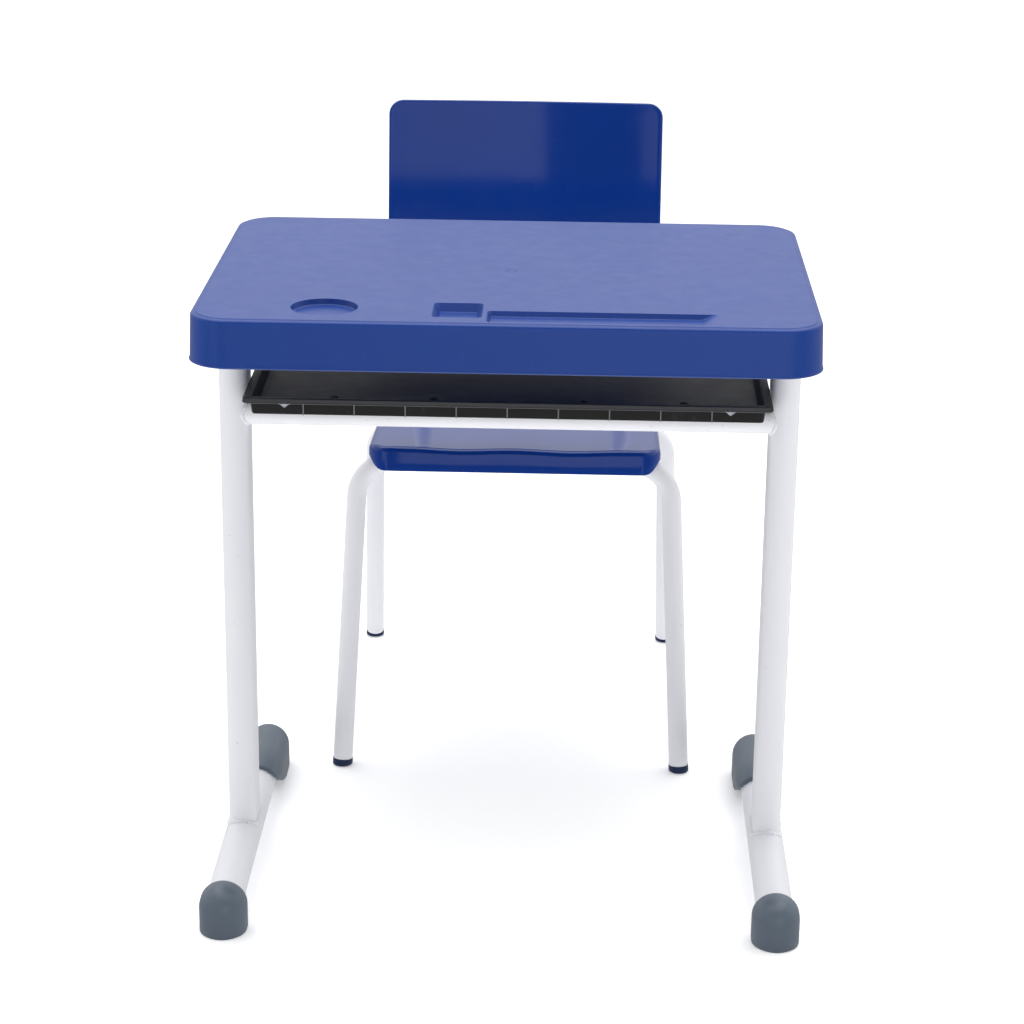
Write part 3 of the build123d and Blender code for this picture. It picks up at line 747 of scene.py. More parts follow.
class Workshop:
    """The finishes and node trees that every sub-assembly uses, and the record of what is made."""

    def __init__(self) -> None:
        """Mixes every finish and builds both node trees."""
        self.finish = {one.slot: one.build() for one in FINISHES}
        self.fasteners = fastener_tree()
        self.rows = row_tree()

    def hand_over(self, piece: bpy.types.Object, body: str, slot: str, *nodes: str) -> None:
        """Dresses a finished piece, ties it to its body and reports it.

        Args:
            piece: The finished piece.
            body: The body that it rides on.
            slot: The material slot of its finish.
            *nodes: The CAD nodes that it stands for.
        """
        piece.data.materials.clear()
        piece.data.materials.append(self.finish[slot])
        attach(piece, body)
        if nodes:
            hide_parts(*nodes)
        LOG.info("%s: %d faces on %s, %s", piece.name, len(piece.data.polygons), body, slot)

    def set_fasteners(self, name: str, kind: bpy.types.Object, spots: Sequence[Vector],
                      axes: Sequence[Vector], slot: str, seed: int) -> bpy.types.Object:
        """Sets one kind of fastener at every spot.

        Args:
            name: The name of the row of fasteners.
            kind: One fastener, which is removed afterwards.
            spots: Where each one seats.
            axes: The direction that each head faces.
            slot: The material slot of the fasteners.
            seed: The seed of their random turns.

        Returns:
            One mesh object that holds them all.
        """
        holder = points_object(name, spots, axes)
        self.fasteners.run(holder, Fastener=kind, Turn_Seed=seed, Finish=self.finish[slot])
        bpy.data.objects.remove(kind)
        shade(holder)
        return holder

    def repeat(self, name: str, shape: bpy.types.Object, count: int, start: Vector, pitch: Vector,
               slot: str) -> bpy.types.Object:
        """Repeats a shape along a row.

        Args:
            name: The name of the row.
            shape: One of the repeated shapes, which is removed afterwards.
            count: How many there are.
            start: Where the first one stands.
            pitch: The step from each to the next.
            slot: The material slot of the row.

        Returns:
            One mesh object that holds the row.
        """
        holder = points_object(name, [Vector()], [Vector((0, 0, 1))])
        self.rows.run(holder, Shape=shape, Count=count, Start=start, Pitch=pitch, Finish=self.finish[slot])
        bpy.data.objects.remove(shape)
        shade(holder)
        return holder

    def dress_frame(self) -> None:
        """Gives every CAD node that stays in sight the finish of its slot."""
        slots = {one["node"]: one["material_slot"] for one in frame["record"]["subparts"]}
        for name, node in frame["nodes"].items():
            for holder in node.material_slots:
                holder.material = self.finish[slots[name]]
            LOG.info("%s: dressed as %s", name, slots[name])


# ---------------------------------------------------------------- desktop
@dataclass
class Recess:
    """A hollow in the writing surface with leaning walls and a rounded floor."""

    centre: tuple[float, float]
    half: tuple[float, float]
    corner: float
    depth: float
    lean: float = math.radians(18)
    floor_round: float = 0.0016
    end_ramp: float = 0.0
    wall: float = 0.0026

    def loop(self, inset: float, z: float, ramp: float = 0.0) -> list[Vector]:
        """The recess outline pulled in by an inset, with its right end pulled in by a ramp.

        Args:
            inset: How far inside the outline.
            z: The height of the loop.
            ramp: How much further the right end is pulled in.

        Returns:
            The points of the loop.
        """
        half_x = self.half[0] - inset - ramp / 2
        points = rounded_outline(half_x, self.half[1] - inset, [self.corner - inset] * 4,
                                 24 if self.corner > 0.02 else 8)
        return [place(self.centre[0] - ramp / 2 + x, self.centre[1] + y, z) for x, y in points]

    def hollow(self, top_z: float) -> bpy.types.Object:
        """Builds the hollow as a solid tool that reaches a little over the surface.

        Args:
            top_z: The height of the surface.

        Returns:
            The tool.
        """
        slope = math.tan(self.lean)
        bend = math.pi / 2 - self.lean
        loops = [self.loop(0.0, top_z + 0.002), self.loop(0.0, top_z)]
        wall_low = self.depth - self.floor_round * (1 - math.sin(self.lean))
        loops.append(self.loop(wall_low * slope, top_z - wall_low, self.end_ramp * wall_low / self.depth))
        base = wall_low * slope + self.floor_round * math.cos(self.lean)
        for step in range(1, 6):
            turn = self.lean + bend * step / 5
            inset = base - self.floor_round * math.cos(turn)
            drop = self.depth - self.floor_round + self.floor_round * math.sin(turn)
            loops.append(self.loop(inset, top_z - drop, self.end_ramp * min(1.0, drop / self.depth)))
        return as_object(loft(loops), "recess_tool")

    def pad(self, top_z: float) -> bpy.types.Object:
        """Builds the thickened pad under the recess.

        Args:
            top_z: The height of the surface.

        Returns:
            The pad.
        """
        low = top_z - self.depth - self.wall
        loops = [self.loop(-self.wall, top_z - 0.001), self.loop(-self.wall, low + 0.001),
                 self.loop(-self.wall + 0.001, low)]
        return as_object(loft(loops), "pad_tool")


@dataclass
class Desktop:
    """The one-piece moulded top with its apron, recesses, ribs and bosses."""

    width: float = 0.604
    depth: float = 0.450
    corner: float = 0.040
    top_z: float = 0.644
    apron: float = 0.048
    draft: float = math.radians(2.0)
    edge_round: float = 0.0045
    hem_round: float = 0.0008
    hem_flare: float = 0.0008
    ledge_inset: float = 0.0060
    step_round: float = 0.0014
    wall: float = 0.003
    plate: float = 0.004
    rib_pitch: float = 0.075
    rib_depth: float = 0.004
    rib_thickness: float = 0.002
    boss_drop: float = 0.006
    gate: tuple[float, float] = (0.0, 0.214)
    recesses: tuple[Recess, ...] = (
        Recess((-0.175, 0.055), (0.0325, 0.0325), 0.0325, 0.006, floor_round=0.0022),
        Recess((-0.0465, 0.0515), (0.024, 0.0275), 0.005, 0.008, lean=math.radians(36)),
        Recess((0.0925, 0.030), (0.1105, 0.021), 0.005, 0.005, lean=math.radians(34), end_ramp=0.012),
    )
    screw_spots: tuple[tuple[float, float], ...] = (
        (-0.150, 0.104), (0.150, 0.104), (-0.281, 0.262), (0.281, 0.262), (-0.281, 0.388), (0.281, 0.388))

    def loop(self, inset: float, z: float) -> list[Vector]:
        """The top's outline pulled in by an inset, at a height.

        Args:
            inset: How far inside the outline.
            z: The height of the loop.

        Returns:
            The points of the loop.
        """
        points = rounded_outline(self.width / 2 - inset, self.depth / 2 - inset,
                                 [self.corner - inset] * 4, 14, 6)
        return [place(x, self.depth / 2 + y, z) for x, y in points]

    def shell(self) -> bpy.types.Object:
        """Builds the plate and the apron as one closed skin.

        Returns:
            The skin.
        """
        lean = math.tan(self.draft)
        loops = []
        for inset, drop in self.rolled_edge():
            loops.append(self.loop(inset, self.top_z - drop))
        for drop in (0.010, 0.020, 0.032, self.apron - 0.0030):
            loops.append(self.loop(-(drop - self.edge_round) * lean, self.top_z - drop))
        reach = (self.apron - self.edge_round) * lean + self.hem_flare
        loops.append(self.loop(-reach + self.hem_flare * 0.75, self.top_z - self.apron + 0.0021))
        loops.append(self.loop(-reach + self.hem_flare * 0.25, self.top_z - self.apron + 0.0017))
        for step in range(1, 5):
            turn = math.pi / 2 * step / 4
            loops.append(self.loop(-reach + self.hem_round * (1 - math.cos(turn)),
                                   self.top_z - self.apron + self.hem_round * (1 - math.sin(turn))))
        loops.append(self.loop(-reach + self.wall, self.top_z - self.apron))
        ceiling = self.top_z - self.plate
        loops.append(self.loop(self.wall, ceiling - 0.002))
        loops.append(self.loop(self.wall + 0.0006, ceiling - 0.0006))
        loops.append(self.loop(self.wall + 0.002, ceiling))
        return as_object(loft(loops), "desktop_top")

    def rolled_edge(self) -> list[tuple[float, float]]:
        """Lists inset and drop down the rolled edge: a small step, a narrow ledge, then the main round.

        Returns:
            Inset and drop of each loop, from the top face outwards.
        """
        edge = []
        for step in range(5):
            turn = math.radians(50) * step / 4
            edge.append((self.ledge_inset - self.step_round * math.sin(turn),
                         self.step_round * (1 - math.cos(turn))))
        last_inset, last_drop = edge[-1]
        edge.append((last_inset - 0.0006, last_drop + 0.0005))
        edge.append((last_inset - 0.0014, last_drop + 0.0007))
        ledge = last_drop + 0.0007
        radius = self.edge_round - ledge
        for step in range(8):
            turn = math.radians(12) + (math.radians(78) - self.draft) * step / 7
            edge.append((radius * (1 - math.sin(turn)), ledge + radius * (1 - math.cos(turn))))
        return edge

    def gate_ring(self) -> bpy.types.Object:
        """Builds the shallow witness ring left where the mould was fed.

        Returns:
            The ring.
        """
        rows = []
        for turn in range(48):
            way = Vector((math.cos(turn * math.tau / 48), math.sin(turn * math.tau / 48), 0))
            middle = place(*self.gate, self.top_z + 0.0001) + way * 0.0058
            rows.append([middle + way * 0.0005 * math.cos(k * math.tau / 8)
                         + Vector((0, 0, 0.00045 * math.sin(k * math.tau / 8))) for k in range(8)])
        return as_object(loft(rows, ring=True), "gate_tool")

    def ribs(self, shop: Workshop) -> bpy.types.Object:
        """Builds the crossed ribs under the plate, kept clear of the recesses.

        Args:
            shop: The workshop that takes finished pieces.

        Returns:
            The ribs as one object.
        """
        low = self.top_z - self.plate - self.rib_depth
        high = self.top_z - self.plate + 0.0005
        half = self.width / 2 - self.wall + 0.001
        thin = self.rib_thickness / 2
        along = box_solid(place(-thin, self.wall - 0.001, low),
                          place(thin, self.depth - self.wall + 0.001, high), "rib_along")
        across = box_solid(place(-half, -thin, low), place(half, thin, high), "rib_across")
        first = shop.repeat("ribs_along", along, 7, Vector((-3 * self.rib_pitch, 0, 0)),
                            Vector((self.rib_pitch, 0, 0)), "desk_blue")
        second = shop.repeat("ribs_across", across, 5, Vector((0, self.rib_pitch, 0)),
                             Vector((0, self.rib_pitch, 0)), "desk_blue")
        grid = join((first, second), "desktop_ribs")
        for recess in self.recesses:
            room = [recess.loop(-0.001, z) for z in (low - 0.01, high + 0.01)]
            cut(grid, as_object(loft(room), "room_tool"), Cut.REMOVE)
        shade(grid)
        return grid

    def bosses(self, shop: Workshop) -> bpy.types.Object:
        """Builds the screw bosses under the plate.

        Args:
            shop: The workshop that takes finished pieces.

        Returns:
            The bosses as one object.
        """
        outer, bore = 0.009, 0.0045
        high = self.boss_drop + 0.0004
        profile = [(bore, 0), (outer - 0.0005, 0), (outer, 0.0005), (outer, high - 0.0015),
                   (outer + 0.0012, high - 0.0004), (outer + 0.0012, high), (bore, high)]
        rows = [circle(radius, height, 32) for radius, height in profile]
        boss = as_object(loft(rows, ring=True), "boss")
        low = self.top_z - self.plate - self.boss_drop
        spots = [place(x, y, low) for x, y in self.screw_spots]
        return shop.set_fasteners("desktop_bosses", boss, spots, [Vector((0, 0, 1))] * 6, "desk_blue", 3)

    def build(self, shop: Workshop) -> None:
        """Builds the top and hands its pieces over.

        Args:
            shop: The workshop that takes finished pieces.
        """
        top = self.shell()
        for recess in self.recesses:
            cut(top, recess.pad(self.top_z), Cut.JOIN)
        for recess in self.recesses:
            cut(top, recess.hollow(self.top_z), Cut.REMOVE)
        soften(top, 0.0011)
        cut(top, self.gate_ring(), Cut.REMOVE)
        shade_flats(top, math.radians(40))
        # painted highlight: a light line along the bottom of the apron's hem
        hem_z = self.top_z - self.apron + self.hem_round
        pale(top, 0.12, lambda spot: spot.z < hem_z)
        shop.hand_over(top, "desk", "desk_blue", "desktop")
        shop.hand_over(self.ribs(shop), "desk", "desk_blue")
        shop.hand_over(self.bosses(shop), "desk", "desk_blue")


# ---------------------------------------------------------------- book tray
@dataclass
class BookTray:
    """The moulded tray: rolled rim, drafted walls, outside ribs and rim nibs."""

    width: float = 0.530
    front_y: float = 0.116
    depth: float = 0.300
    top_z: float = 0.5326
    low_z: float = 0.514
    flange: float = 0.007
    wall: float = 0.0024
    lip: float = 0.005
    draft: float = math.radians(6)
    rib_pitch: float = 0.051
    rib_count: int = 9
    rib_thickness: float = 0.0012
    rib_drop: float = 0.0018
    nib_x: float = 0.222

    def loop(self, inset: float, z: float) -> list[Vector]:
        """The rim's outline pulled in by an inset, at a height.

        Args:
            inset: How far inside the outline.
            z: The height of the loop.

        Returns:
            The points of the loop.
        """
        points = rounded_outline(self.width / 2 - inset, self.depth / 2 - inset,
                                 [max(0.008 - inset * 0.5, 0.003)] * 4, 6, 4)
        return [place(x, self.front_y + self.depth / 2 + y, z) for x, y in points]

    def pan(self) -> bpy.types.Object:
        """Builds the tray as one closed skin, from under its floor round its rim to its floor.

        Returns:
            The skin.
        """
        lean = math.tan(self.draft)
        drop = self.top_z - self.low_z
        outside = self.flange + drop * lean
        under_rim = self.top_z - self.wall
        steps = [(outside + 0.0025, self.low_z), (outside + 0.0008, self.low_z + 0.0003),
                 (outside, self.low_z + 0.0016),
                 (self.flange + (self.wall + 0.001) * lean, under_rim - 0.001),
                 (self.flange - 0.0008, under_rim), (0.0026, under_rim), (0.0020, under_rim - 0.0006),
                 (0.0020, self.top_z - self.lip + 0.0003), (0.0016, self.top_z - self.lip),
                 (0.0002, self.top_z - self.lip), (-0.0002, self.top_z - self.lip + 0.0005),
                 (0.0, self.top_z - self.lip + 0.0010), (0.0004, self.top_z - self.lip + 0.0014),
                 (0.0004, self.top_z - 0.0009), (0.0006, self.top_z - 0.0003), (0.0012, self.top_z)]
        inner = self.flange + self.wall
        steps += [(inner - 0.0010, self.top_z), (inner - 0.0003, self.top_z - 0.0003),
                  (inner, self.top_z - 0.001)]
        floor_z = self.low_z + self.wall
        inside = inner + (self.top_z - floor_z) * lean
        for step in range(5):
            turn = math.pi / 2 * step / 4
            steps.append((inside + 0.002 * (1 - math.cos(turn)), floor_z + 0.002 * (1 - math.sin(turn))))
        return as_object(loft([self.loop(inset, z) for inset, z in steps]), "tray_pan")

    def ribs(self, shop: Workshop) -> bpy.types.Object:
        """Builds the thin ribs across the tray's underside and up its front and rear walls.

        Args:
            shop: The workshop that takes finished pieces.

        Returns:
            The ribs as one object.
        """
        half = self.rib_thickness / 2
        low = self.low_z - self.rib_drop
        y0 = self.front_y + self.flange + 0.0007
        y1 = self.front_y + self.depth - self.flange - 0.0007
        drop_y = self.front_y + 0.044
        edge = ((y0, self.low_z + 0.0002), (drop_y, self.low_z - 0.0002), (drop_y + 0.001, low),
                (y1 - 0.0006, low), (y1, low + 0.0006),
                (y1, self.top_z - 0.003), (y1 - 0.0014, self.top_z - 0.003), (y1 - 0.003, self.low_z + 0.001),
                (y0 + 0.003, self.low_z + 0.001), (y0 + 0.0014, self.top_z - 0.003), (y0, self.top_z - 0.003))
        rib = as_object(loft([[place(x, y, z) for y, z in edge] for x in (-half, half)]), "rib")
        ribs = shop.repeat("tray_ribs", rib, self.rib_count, Vector((-4 * self.rib_pitch, 0, 0)),
                           Vector((self.rib_pitch, 0, 0)), "tray_black")
        # painted highlight: the front ends of the ribs lighter, as light catches their thin edges
        pale(ribs, 0.33, lambda spot: spot.y < place(0, drop_y, 0).y - 0.01)
        return ribs

    def nibs(self) -> bpy.types.Object:
        """Builds the two small snap nibs under the front of the rim.

        Returns:
            The nibs as one object.
        """
        pieces = []
        top = self.top_z - self.lip + 0.0008
        outline = ((-0.0048, 0.0), (-0.0026, -0.0016), (-0.0010, -0.0030), (0.0, -0.0034),
                   (0.0010, -0.0030), (0.0026, -0.0016), (0.0048, 0.0), (0.0, 0.0006))
        for side in (LEFT, RIGHT):
            rows = []
            for y, size in ((0.0003, 0.95), (-0.0004, 1.25), (0.0012, 1.25), (0.0019, 1.1)):
                rows.append([place(side * self.nib_x + x * size, self.front_y + y, top + z * size)
                             for x, z in outline])
            pieces.append(as_object(loft(rows), "nib"))
        nibs = join(pieces, "tray_nibs")
        # painted highlight: each nib wholly light grey, as light catches its edge
        pale(nibs, 1.0, lambda spot: True)
        return nibs

    def build(self, shop: Workshop) -> None:
        """Builds the tray and hands its pieces over.

        Args:
            shop: The workshop that takes finished pieces.
        """
        pan = self.pan()
        # painted reflection: the lip's front a little lighter and a brighter line along its lower bead
        bead_z = self.top_z - self.lip + 0.0002
        front = place(0, self.front_y + 0.0015, 0).y
        pale(pan, 0.08, lambda spot: spot.y < front)
        pale(pan, 0.33, lambda spot: spot.y < front and spot.z < bead_z)
        shop.hand_over(pan, "desk", "tray_black", "book_tray")
        shop.hand_over(self.ribs(shop), "desk", "tray_black")
        shop.hand_over(self.nibs(), "desk", "tray_black")


# ---------------------------------------------------------------- foot caps
@dataclass
class FootCap:
    """A plastic hood over one end of a foot tube: round nose, arched top and flat sole."""

    side: int
    nose_y: float
    lip_y: float
    scooped: bool = False
    radius: float = 0.02425
    bore: float = 0.01915
    tube_z: float = 0.0265
    tube_in: float = 0.009
    steps: int = 20

    def arch(self, y: float, radius: float) -> list[Vector]:
        """One cross-section: a half circle on upright sides that stand on a flat sole.

        Args:
            y: Where the section lies.
            radius: The radius of the half circle.

        Returns:
            The points of the section.
        """
        turns = [k * math.pi / self.steps for k in range(self.steps + 1)]
        top = [(radius * math.cos(turn), self.tube_z + radius * math.sin(turn)) for turn in turns]
        foot = min(0.0014, radius * 0.3)
        left = [(-radius, self.tube_z * 0.5), (-radius, foot),
                (-radius + foot * 0.3, foot * 0.3), (-radius + foot, 0.0)]
        right = [(-x, z) for x, z in reversed(left)]
        middle = [(-radius * share, 0.0) for share in (0.5, 0.0, -0.5)]
        return [place(self.side * SIDE_X + x, y, z) for x, z in top + left + middle + right]

    def tube_hole(self, y: float, radius: float) -> list[Vector]:
        """One round section of the bore, point for point with the arch.

        Args:
            y: Where the section lies.
            radius: The radius of the bore.

        Returns:
            The points of the section.
        """
        outer = self.arch(y, self.radius)
        centre = place(self.side * SIDE_X, y, self.tube_z)
        return [centre + (point - centre).normalized() * radius for point in outer]

    def hood(self) -> bpy.types.Object:
        """Builds the hood with its bore as one closed skin.

        Returns:
            The skin.
        """
        inward = 1 if self.lip_y > self.nose_y else -1
        round_y = self.nose_y + inward * self.radius
        loops = [self.tube_hole(round_y - inward * self.tube_in, self.bore),
                 self.tube_hole(self.lip_y - inward * 0.0008, self.bore),
                 self.tube_hole(self.lip_y - inward * 0.0002, self.bore + 0.0004),
                 self.tube_hole(self.lip_y, self.bore + 0.0012)]
        loops += [self.arch(self.lip_y, self.radius - 0.0012),
                  self.arch(self.lip_y - inward * 0.0003, self.radius - 0.0004),
                  self.arch(self.lip_y - inward * 0.0012, self.radius)]
        share = 0.5 if abs(self.lip_y - round_y) > 0.03 else 0.6
        loops.append(self.arch(self.lip_y + (round_y - self.lip_y) * share, self.radius))
        for step in range(self.steps):
            turn = math.pi / 2 * step / self.steps
            loops.append(self.arch(round_y - inward * self.radius * math.sin(turn),
                                   self.radius * math.cos(turn)))
        return as_object(loft(loops, Cap.FLAT, Cap.FLAT), "cap")

    def scoop(self) -> bpy.types.Object:
        """Builds the tool that hollows the underside of a long cap towards its lip.

        Returns:
            The tool.
        """
        lip = self.lip_y
        start, middle, end = Vector((lip + 0.008, 0.033)), Vector((0.346, 0.013)), Vector((0.390, 0.0))
        curve = []
        for step in range(13):
            share = step / 12
            control = middle * 2 - (start + end) / 2
            curve.append(start * (1 - share) ** 2 + control * 2 * share * (1 - share) + end * share ** 2)
        edge = [(lip - 0.012, 0.062), (lip + 0.0002, 0.062), (lip + 0.0002, 0.050), (lip + 0.0022, 0.040)]
        edge += [(point.x, point.y) for point in curve] + [(0.390, -0.006), (lip - 0.012, -0.006)]
        reach = self.radius + 0.006
        rows = [[place(self.side * SIDE_X + x, y, z) for y, z in edge] for x in (-reach, reach)]
        return as_object(loft(rows), "scoop_tool")

    def build(self, shop: Workshop, name: str, node: str) -> None:
        """Builds the cap under a name and hands it over for its CAD node.

        Args:
            shop: The workshop that takes finished pieces.
            name: The name of the cap.
            node: The CAD node it stands for.
        """
        cap = self.hood()
        if self.scooped:
            cut(cap, self.scoop(), Cut.REMOVE)
            soften(cap, 0.0008, 2, math.radians(45))
        shade(cap, math.radians(42))
        cap.name = name
        shop.hand_over(cap, "desk", "cap_grey", node)


# ---------------------------------------------------------------- chair shells
@dataclass
class ChairLine:
    """The chair's own planes: where its seat and back stand and how they lean."""

    seat_front: Point = (0.0, 0.428, 0.3865)
    front_tube: tuple[float, float] = (0.452, 0.364)
    rear_tube: tuple[float, float] = (0.742, 0.317)
    tube: float = 0.0111
    spine_x: float = 0.119
    spine_corner_y: float = 0.812
    lean: float = math.radians(8.5)
    back_top_z: float = 0.7005
    back_height: float = 0.195
    tube_below_back: float = 0.019

    @property
    def slope(self) -> float:
        """The fall of the seat tubes, level with the front tube and on top of the rear one."""
        rise = 2 * self.tube + 0.00012
        return (self.front_tube[1] - self.rear_tube[1] - rise) / (self.rear_tube[0] - self.front_tube[0])

    def on_seat(self, x: float, y: float, z: float) -> Vector:
        """A point of the seat's own frame: Y back along the seat, Z square to it.

        Args:
            x: Across, from the middle.
            y: Back along the seat.
            z: Square to the seat.

        Returns:
            The point in the frame of the model.
        """
        turn = math.atan(self.slope)
        along = Vector((0, math.cos(turn), -math.sin(turn)))
        up = Vector((0, math.sin(turn), math.cos(turn)))
        return place(*self.seat_front) + Vector((x, 0, 0)) + along * y + up * z

    def on_back(self, x: float, y: float, z: float) -> Vector:
        """A point of the back's own frame: Z up along the tubes, Y square to the back.

        Args:
            x: Across, from the middle.
            y: Square to the back.
            z: Up along the tubes.

        Returns:
            The point in the frame of the model.
        """
        corner_z = self.front_tube[1] - (self.spine_corner_y - self.front_tube[0]) * self.slope
        tube_top = self.back_top_z - self.tube_below_back
        top_y = self.spine_corner_y + (tube_top - corner_z) * math.tan(self.lean)
        low_z = self.back_top_z - self.back_height * math.cos(self.lean)
        low_y = top_y - (tube_top - low_z) * math.tan(self.lean)
        out = Vector((0, math.cos(self.lean), -math.sin(self.lean)))
        up = Vector((0, math.sin(self.lean), math.cos(self.lean)))
        return place(0, low_y, low_z) + Vector((x, 0, 0)) + out * y + up * z


@dataclass
class Seat:
    """The moulded seat: dished top, rolled front edge and turned-down sides."""

    line: ChairLine = field(default_factory=ChairLine)
    width: float = 0.330
    depth: float = 0.340
    corner: float = 0.028
    wall: float = 0.0042
    edge_round: float = 0.0075
    front_lip: float = 0.0275
    skirt: float = 0.014
    lip_corner: float = 0.018
    dish: float = 0.0034
    thigh_dip: float = 0.0022
    screw_spots: tuple[float, float] = (0.095, 0.270)

    def height(self, x: float, y: float) -> float:
        """The height of the top over the seat plane at a point of its plan.

        Args:
            x: Across, from the middle.
            y: Back along the seat.

        Returns:
            The height.
        """
        across = min(1.0, abs(x) / (self.width / 2 - 0.020))
        fade = math.sin(math.pi * min(1.0, max(0.0, (y - 0.012) / (self.depth - 0.024)))) ** 0.7
        bowl = -self.dish * (1 - across ** 4) * fade
        thigh = math.exp(-((abs(x) - 0.062) / 0.038) ** 2) * math.exp(-max(0.0, y) / 0.11)
        return bowl - self.thigh_dip * thigh

    def drop(self, x: float, y: float) -> float:
        """How far the rim hangs below the seat plane at a point of its plan.

        Args:
            x: Across, from the middle.
            y: Back along the seat.

        Returns:
            The drop.
        """
        past = max(0.0, abs(x) - (self.width / 2 - self.lip_corner))
        rounded = self.front_lip - self.lip_corner + math.sqrt(max(0.0, self.lip_corner ** 2 - past ** 2))
        share = min(1.0, max(0.0, (y - 0.004) / 0.022))
        ease = share * share * (3 - 2 * share)
        return max(self.skirt, rounded * (1 - ease) + self.skirt * ease)

    def plan(self, inset: float) -> list[tuple[float, float]]:
        """The seat's outline pulled in by an inset, about its middle."""
        return rounded_outline(self.width / 2 - inset, self.depth / 2 - inset,
                               [self.corner - inset] * 4, 10, 22)

    def ring(self, inset: float, sink: float, rim: float = 0.0) -> list[Vector]:
        """One ring of the skin.

        Args:
            inset: How far the ring is pulled in from the outline.
            sink: How far it lies below the top surface.
            rim: The share of the way down to the rim.

        Returns:
            The ring's points.
        """
        points = []
        for x, y_middle in self.plan(inset):
            y = y_middle + self.depth / 2
            top = self.height(x, y) - sink
            points.append(self.line.on_seat(x, y, top + (-self.drop(x, y) - top) * rim))
        return points

    def shrunk(self, share: float, inset: float, sink: float) -> list[Vector]:
        """A ring drawn in from an inset ring towards the seat's middle.

        Args:
            share: The size of the ring beside the inset ring.
            inset: The inset of the ring it is drawn from.
            sink: How far it lies under the top.

        Returns:
            The points of the ring.
        """
        points = []
        for x, y_middle in self.plan(inset):
            x, y = x * share, y_middle * share + self.depth / 2
            points.append(self.line.on_seat(x, y, self.height(x, y) - sink))
        return points

    def shell(self) -> bpy.types.Object:
        """Builds the seat as one closed skin, top side first.

        Returns:
            The skin.
        """
        r = self.edge_round
        shares = [0.06, 0.14] + [0.22 + 0.06 * step for step in range(13)]
        loops = [self.shrunk(share, 0.018, 0.0) for share in shares]
        loops += [self.ring(0.015, 0.0), self.ring(0.011, 0.0)]
        for step in range(8):
            turn = math.pi / 2 * step / 7
            loops.append(self.ring(r * (1 - math.sin(turn)), r * (1 - math.cos(turn))))
        loops += [self.ring(0.0, r, 0.5), self.ring(0.0, r, 0.93), self.ring(0.0004, r, 0.985),
                  self.ring(0.0012, r, 1.0)]
        loops += [self.ring(self.wall - 0.0012, r, 1.0), self.ring(self.wall - 0.0004, r, 0.985),
                  self.ring(self.wall, r, 0.93), self.ring(self.wall, r, 0.5)]
        for step in range(4):
            turn = math.pi / 2 * step / 3
            inner = r - self.wall * 0.6
            loops.append(self.ring(self.wall + inner * (1 - math.cos(turn)),
                                   self.wall + inner * (1 - math.sin(turn))))
        loops += [self.ring(0.015, self.wall)]
        loops += [self.shrunk(share, 0.018, self.wall) for share in reversed(shares)]
        return as_object(loft(loops, Cap.FAN, Cap.FAN), "seat_skin")

    def bosses(self, shop: Workshop) -> bpy.types.Object:
        """Builds the four screw bosses that stand on the seat tubes.

        Args:
            shop: The workshop that takes finished pieces.

        Returns:
            The bosses as one object.
        """
        rise = self.line.seat_front[2] - self.line.front_tube[1]
        rise -= (self.line.front_tube[0] - self.line.seat_front[1]) * self.line.slope
        low = -(rise * math.cos(math.atan(self.line.slope)) - self.line.tube)
        high = -self.wall - self.dish
        profile = [(0.0024, 0), (0.0066, 0), (0.007, 0.0004), (0.0074, high - low), (0.0024, high - low)]
        rows = [circle(radius, height, 28) for radius, height in profile]
        boss = as_object(loft(rows, ring=True), "boss")
        spots, axes = [], []
        for side in (LEFT, RIGHT):
            for y in self.screw_spots:
                foot = self.line.on_seat(side * self.line.spine_x, y, low + 0.0001)
                spots.append(foot)
                axes.append(self.line.on_seat(side * self.line.spine_x, y, 0.0) - foot)
        return shop.set_fasteners("seat_bosses", boss, spots, axes, "chair_blue", 5)

    def build(self, shop: Workshop) -> None:
        """Builds the seat and hands its pieces over."""
        shop.hand_over(self.shell(), "chair", "chair_blue", "seat_shell")
        shop.hand_over(self.bosses(shop), "chair", "chair_blue")


